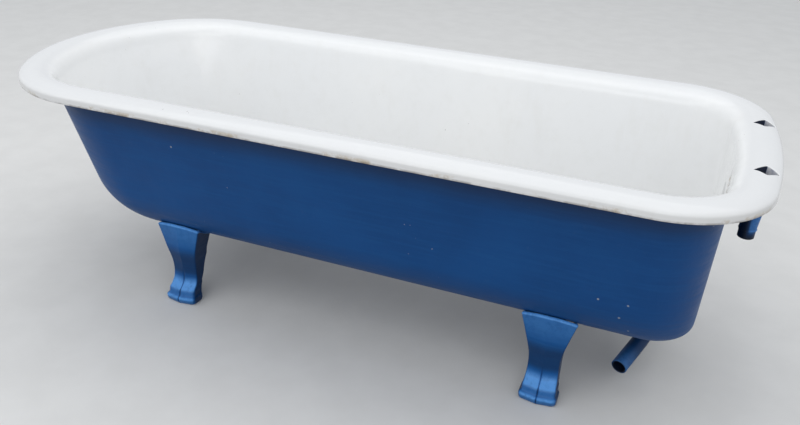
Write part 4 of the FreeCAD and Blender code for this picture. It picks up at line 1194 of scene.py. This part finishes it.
def build_elbow():
    form = Form()
    turn, fall = radians(-109.4), radians(12.0)
    way = Vector((cos(turn), sin(turn), 0))
    down = Vector((0, 0, -1))
    start = Vector(at_waste(SHANK_END_Z))
    bend, neck, tail, tail_steps = 34.0, 24.0, 93.0, 24
    line = [start + down * k for k in np.linspace(0, neck, 7)[:-1]]
    for a in np.linspace(0, QUARTER - fall, 20):
        line.append(start + down * (neck + bend * sin(a)) + way * (bend * (1 - cos(a))))
    ahead = way * cos(fall) + down * sin(fall)
    corner = line[-1]
    line += [corner + ahead * k for k in np.linspace(0, tail, tail_steps)[1:]]
    # Painted shade where the pipe runs under the body, turning to painted light towards the tail's end
    count, end = len(line), line.pop()
    shade_to_light = np.linspace(-0.3, 0.55, tail_steps - 1).tolist()
    tints = [-0.3] * (count - len(shade_to_light)) + shade_to_light
    outside, inside_radius = 17.0, 13.5
    outer = (line + [end - ahead * 0.8, end], [outside] * count + [16.3], 48, tints + [0.5])
    inner = (line + [end - ahead * 0.6, end], [inside_radius] * count + [14.0], 48)
    # The inside is tinted dark: painted shade
    pipe(form, outer, (*inner, [-1.0] * (count + 1)))
    collar = [(16.9, -6), (23.6, -6), (24, -5.6), (24, -0.4), (23.6, 0), (16.9, 0)]
    turned(form, start, UP, collar, 48)
    form.piece("elbow_pipe", "tub", "blue_pipe", ("waste_elbow",), 35)


PLATE_RADIUS, PLATE_BORE, PLATE_HOLE = 34.0, 27.0, 3.3


def eared_outline(grow):
    """A disc with a straight-sided ear to each side."""
    points = []
    for d in circle(1, 180):
        along, off = EAR_OUT * np.abs(d)
        reach = EAR_RADIUS / max(abs(d[1]), 1e-9)
        if reach * abs(d[0]) > EAR_OUT:
            reach = along + sqrt(max(EAR_RADIUS ** 2 - off ** 2, 0))
        points.append(d * (max(PLATE_RADIUS, reach) + grow))
    return points + np.array([0, OVERFLOW_Z])


def eared_body(form, x0, x1, edge):
    """A plate square to X with a bore, two screw holes and a broken edge."""
    rings = []
    for grow, x in ((-edge, x0), (0, x0 + edge), (0, x1 - edge), (-edge, x1)):
        rings.append(form.add(upright(eared_outline(grow), x)))
    form.strips(rings)
    ends = []
    for rim, x in ((rings[0], x0), (rings[-1], x1)):
        loops = []
        for radius, y, count in (
            (PLATE_BORE, 0, 64), (PLATE_HOLE, -EAR_OUT, 24), (PLATE_HOLE, EAR_OUT, 24),
        ):
            loops.append(form.add(upright(circle(radius, count) + (y, OVERFLOW_Z), x)))
        form.patch(rim, loops, UPRIGHT)
        ends.append(loops)
    for a, b in zip(*ends):
        form.strip(a, b)


# Heights down the horn with its radius and tint there: painted light on the upper part and painted
# shade at the lower end
HORN_LOW = OVERFLOW_Z - 98.0
HORN_STEPS = (
    (395, 19.75, 0.55), (385, 18.7, 0.75), (375, 17.8, 0.8), (366, 17.0, 0.7), (360.2, 16.4, 0.6),
    (359.4, 17.2, 0.7), (358, 17.6, 0.8), (356.6, 17.2, 0.6), (355.8, 16.1, 0.3), (352, 16.0, 0.1),
    (348, 16.0, -0.5), (343, 16.0, -0.9), (HORN_LOW + 0.9, 16.0, -1), (HORN_LOW, 15.2, -1),
)


def build_horn():
    form = Form()
    face, plate = BOSS_FACE_X + 2.0, 6.0
    eared_body(form, face, face + plate, 0.9)
    bend, mouth, throat = 36.0, 30.5, 20.35
    # The bend is tinted a little paler: painted light
    steps = [
        (
            face + bend * sin(a), OVERFLOW_Z - bend * (1 - cos(a)),
            mouth + (throat - mouth) * a / QUARTER, 0.35,
        )
        for a in np.linspace(radians(1.5), QUARTER, 26)
    ]
    steps += [(face + bend, *step) for step in HORN_STEPS]
    line = [(x, 0, z) for x, z, _, _ in steps]
    sizes, tints = [step[2] for step in steps], [step[3] for step in steps]
    # The bore narrows round the bend, and runs straight from there
    hollow = [26.9, *(max(size - 3.55, 12.5) for size in sizes[1:27])]
    hollow += [12.5] * (len(sizes) - len(hollow))
    # Painted shade on the side that faces the tub, and on the inside
    outer = (line, sizes, 56, tints, Vector((-0.88, -0.47, 0)))
    pipe(form, outer, (line, hollow, 56, [-1.0] * len(line)))
    form.piece("horn_casting", "tub", "blue_pipe", ("overflow_horn",), 35)
    form = Form()
    eared_body(form, BOSS_FACE_X, face, 0.3)
    form.piece("horn_gasket", "tub", "black_rubber", ("overflow_gasket",), 35)
    form = Form()
    shank = [(0.01, -16), (2.4, -16), *thread(3.0, -15.6, -6.5, 1.0, 0.4), (3.0, -6), (3.0, 0.3)]
    for y in (-EAR_OUT, EAR_OUT):
        head = (face + plate, y, OVERFLOW_Z)
        hex_nut(form, head, OUT, 5.8, 4.0, [(0.6, 4.0), (0.6, 0)])
        turned(form, head, OUT, shank, 24, closed=False)
    form.piece("horn_screws", "tub", "dark_steel", ("overflow_screws",), 20)


def build_plug():
    form = Form()
    rest, top, ring_radius, wire = SEAL_TOP_Z + 4.4, 5.0, 10, 1.6
    profile = [
        (3.1, -7.0), (3.1, 4.4), (3.6, top), (20.8, top), (22.2, 4.6), (23.2, 3.6), (24.6, 0.9),
        (24.9, 0.3), (24.6, 0), (20.6, 0), (20.4, -0.5), (17.3, -13.6), (16.8, -14.0),
        (0.6, -14.0), (0.6, -7.0),
    ]
    turned(form, at_waste(rest), UP, profile, 72)
    form.piece("rubber_plug", "plug", "black_rubber", ("waste_plug",), 30)
    form = Form()
    middle = Vector(at_waste(rest + top + 3.2 + ring_radius))
    loop = []
    for x, z in circle(1, 64):
        out = Vector((x, 0, z))
        spots = [out * (ring_radius + wire * c) + Vector((0, wire * s, 0)) for c, s in circle(1, 18)]
        loop.append(form.add([middle + spot for spot in spots]))
    form.strips(loop + loop[:1])
    pin = [(0.01, -7.0), (2.6, -7.0), (3.0, -6.6), (3.0, 6.4), (2.6, 7.6), (1.6, 8.2), (0.01, 8.2)]
    turned(form, at_waste(rest), UP, pin, 32, closed=False)
    form.piece("pull_ring", "plug", "chromed_brass", ("plug_ring",), 35)


build_enamel()
build_casting()
for end, along in (("head", -374.0), ("tap", 493.0)):
    build_foot("foot_near_" + end, along, 1)
    build_foot("foot_far_" + end, along, -1)
build_bolts()
build_waste()
build_elbow()
build_horn()
build_plug()

# Camera, light and floor

FOCAL_PIXELS = 760.0
WIDTH_PIXELS = 800


def make_camera():
    pitch, roll, yaw = radians(27.099), radians(2.128), radians(-21.554)
    ahead = Vector((sin(yaw), cos(yaw), 0))
    right = Vector((cos(yaw), -sin(yaw), 0))
    up = Vector((0, 0, 1))
    view = ahead * cos(pitch) - up * sin(pitch)
    top = up * cos(pitch) + ahead * sin(pitch)
    side = right * cos(roll) + top * sin(roll)
    top = -right * sin(roll) + top * cos(roll)
    data = bpy.data.cameras.new("camera")
    camera = bpy.data.objects.new("camera", data)
    bpy.context.scene.collection.objects.link(camera)
    turn = Matrix((side, top, -view)).transposed().to_4x4()
    camera.matrix_world = Matrix.Translation(Vector((0.6657, -1.4817, 1.0404))) @ turn
    data.sensor_width = 36
    data.lens = FOCAL_PIXELS / WIDTH_PIXELS * 36
    data.clip_start = 0.05
    data.clip_end = 60
    bpy.context.scene.camera = camera


def area_light(name, place, target, size, power):
    data = bpy.data.lights.new(name, "AREA")
    data.shape = "RECTANGLE"
    data.size, data.size_y = size
    data.energy = power
    lamp = bpy.data.objects.new(name, data)
    lamp.location = place
    lamp.rotation_euler = (Vector(target) - Vector(place)).to_track_quat("-Z", "Y").to_euler()
    bpy.context.scene.collection.objects.link(lamp)


def make_floor():
    p = Paint("studio_floor")
    seen = p.node("LightPath")
    shown = p.maths("MAXIMUM", seen.outputs["Is Camera Ray"], seen.outputs["Is Glossy Ray"])
    pale = p.blend(p.shade(p.noise(9), 0.3, 0.7), (0.70, 0.695, 0.68), (0.73, 0.725, 0.71))
    tone = p.blend(shown, (0.20, 0.195, 0.19), pale)
    material = p.surface({"Base Color": tone, "Roughness": 0.9, "Specular IOR Level": 0.1})
    half = 14
    mesh = bpy.data.meshes.new("studio_floor")
    mesh.from_pydata([(half * x, half * y, 0) for x, y in CORNERS], [], [(2, 3, 0, 1)])
    mesh.materials.append(material)
    floor = bpy.data.objects.new("studio_floor", mesh)
    bpy.context.scene.collection.objects.link(floor)


def make_world():
    world = bpy.data.worlds.new("studio")
    bpy.context.scene.world = world
    world.use_nodes = True
    back = world.node_tree.nodes["Background"]
    back.inputs["Color"].default_value = (0.93, 0.96, 1.0, 1)
    back.inputs["Strength"].default_value = 0.78


make_camera()
make_world()
make_floor()
area_light("key", (-1.9, -2.5, 2.7), (0, 0, 0.35), (3.0, 2.2), 14)
area_light("front", (0.4, -3.4, 1.3), (0, 0, 0.3), (3.2, 1.6), 18)
area_light("over", (0.1, 0.2, 3.2), (0, 0, 0.3), (4.8, 3.8), 38)

bpy.context.scene.view_settings.view_transform = "Standard"

for node, held in frame["nodes"].items():
    slot_name = next(s["material_slot"] for s in frame["record"]["subparts"] if s["node"] == node)
    held.data.materials.clear()
    held.data.materials.append(MATERIALS[slot_name])
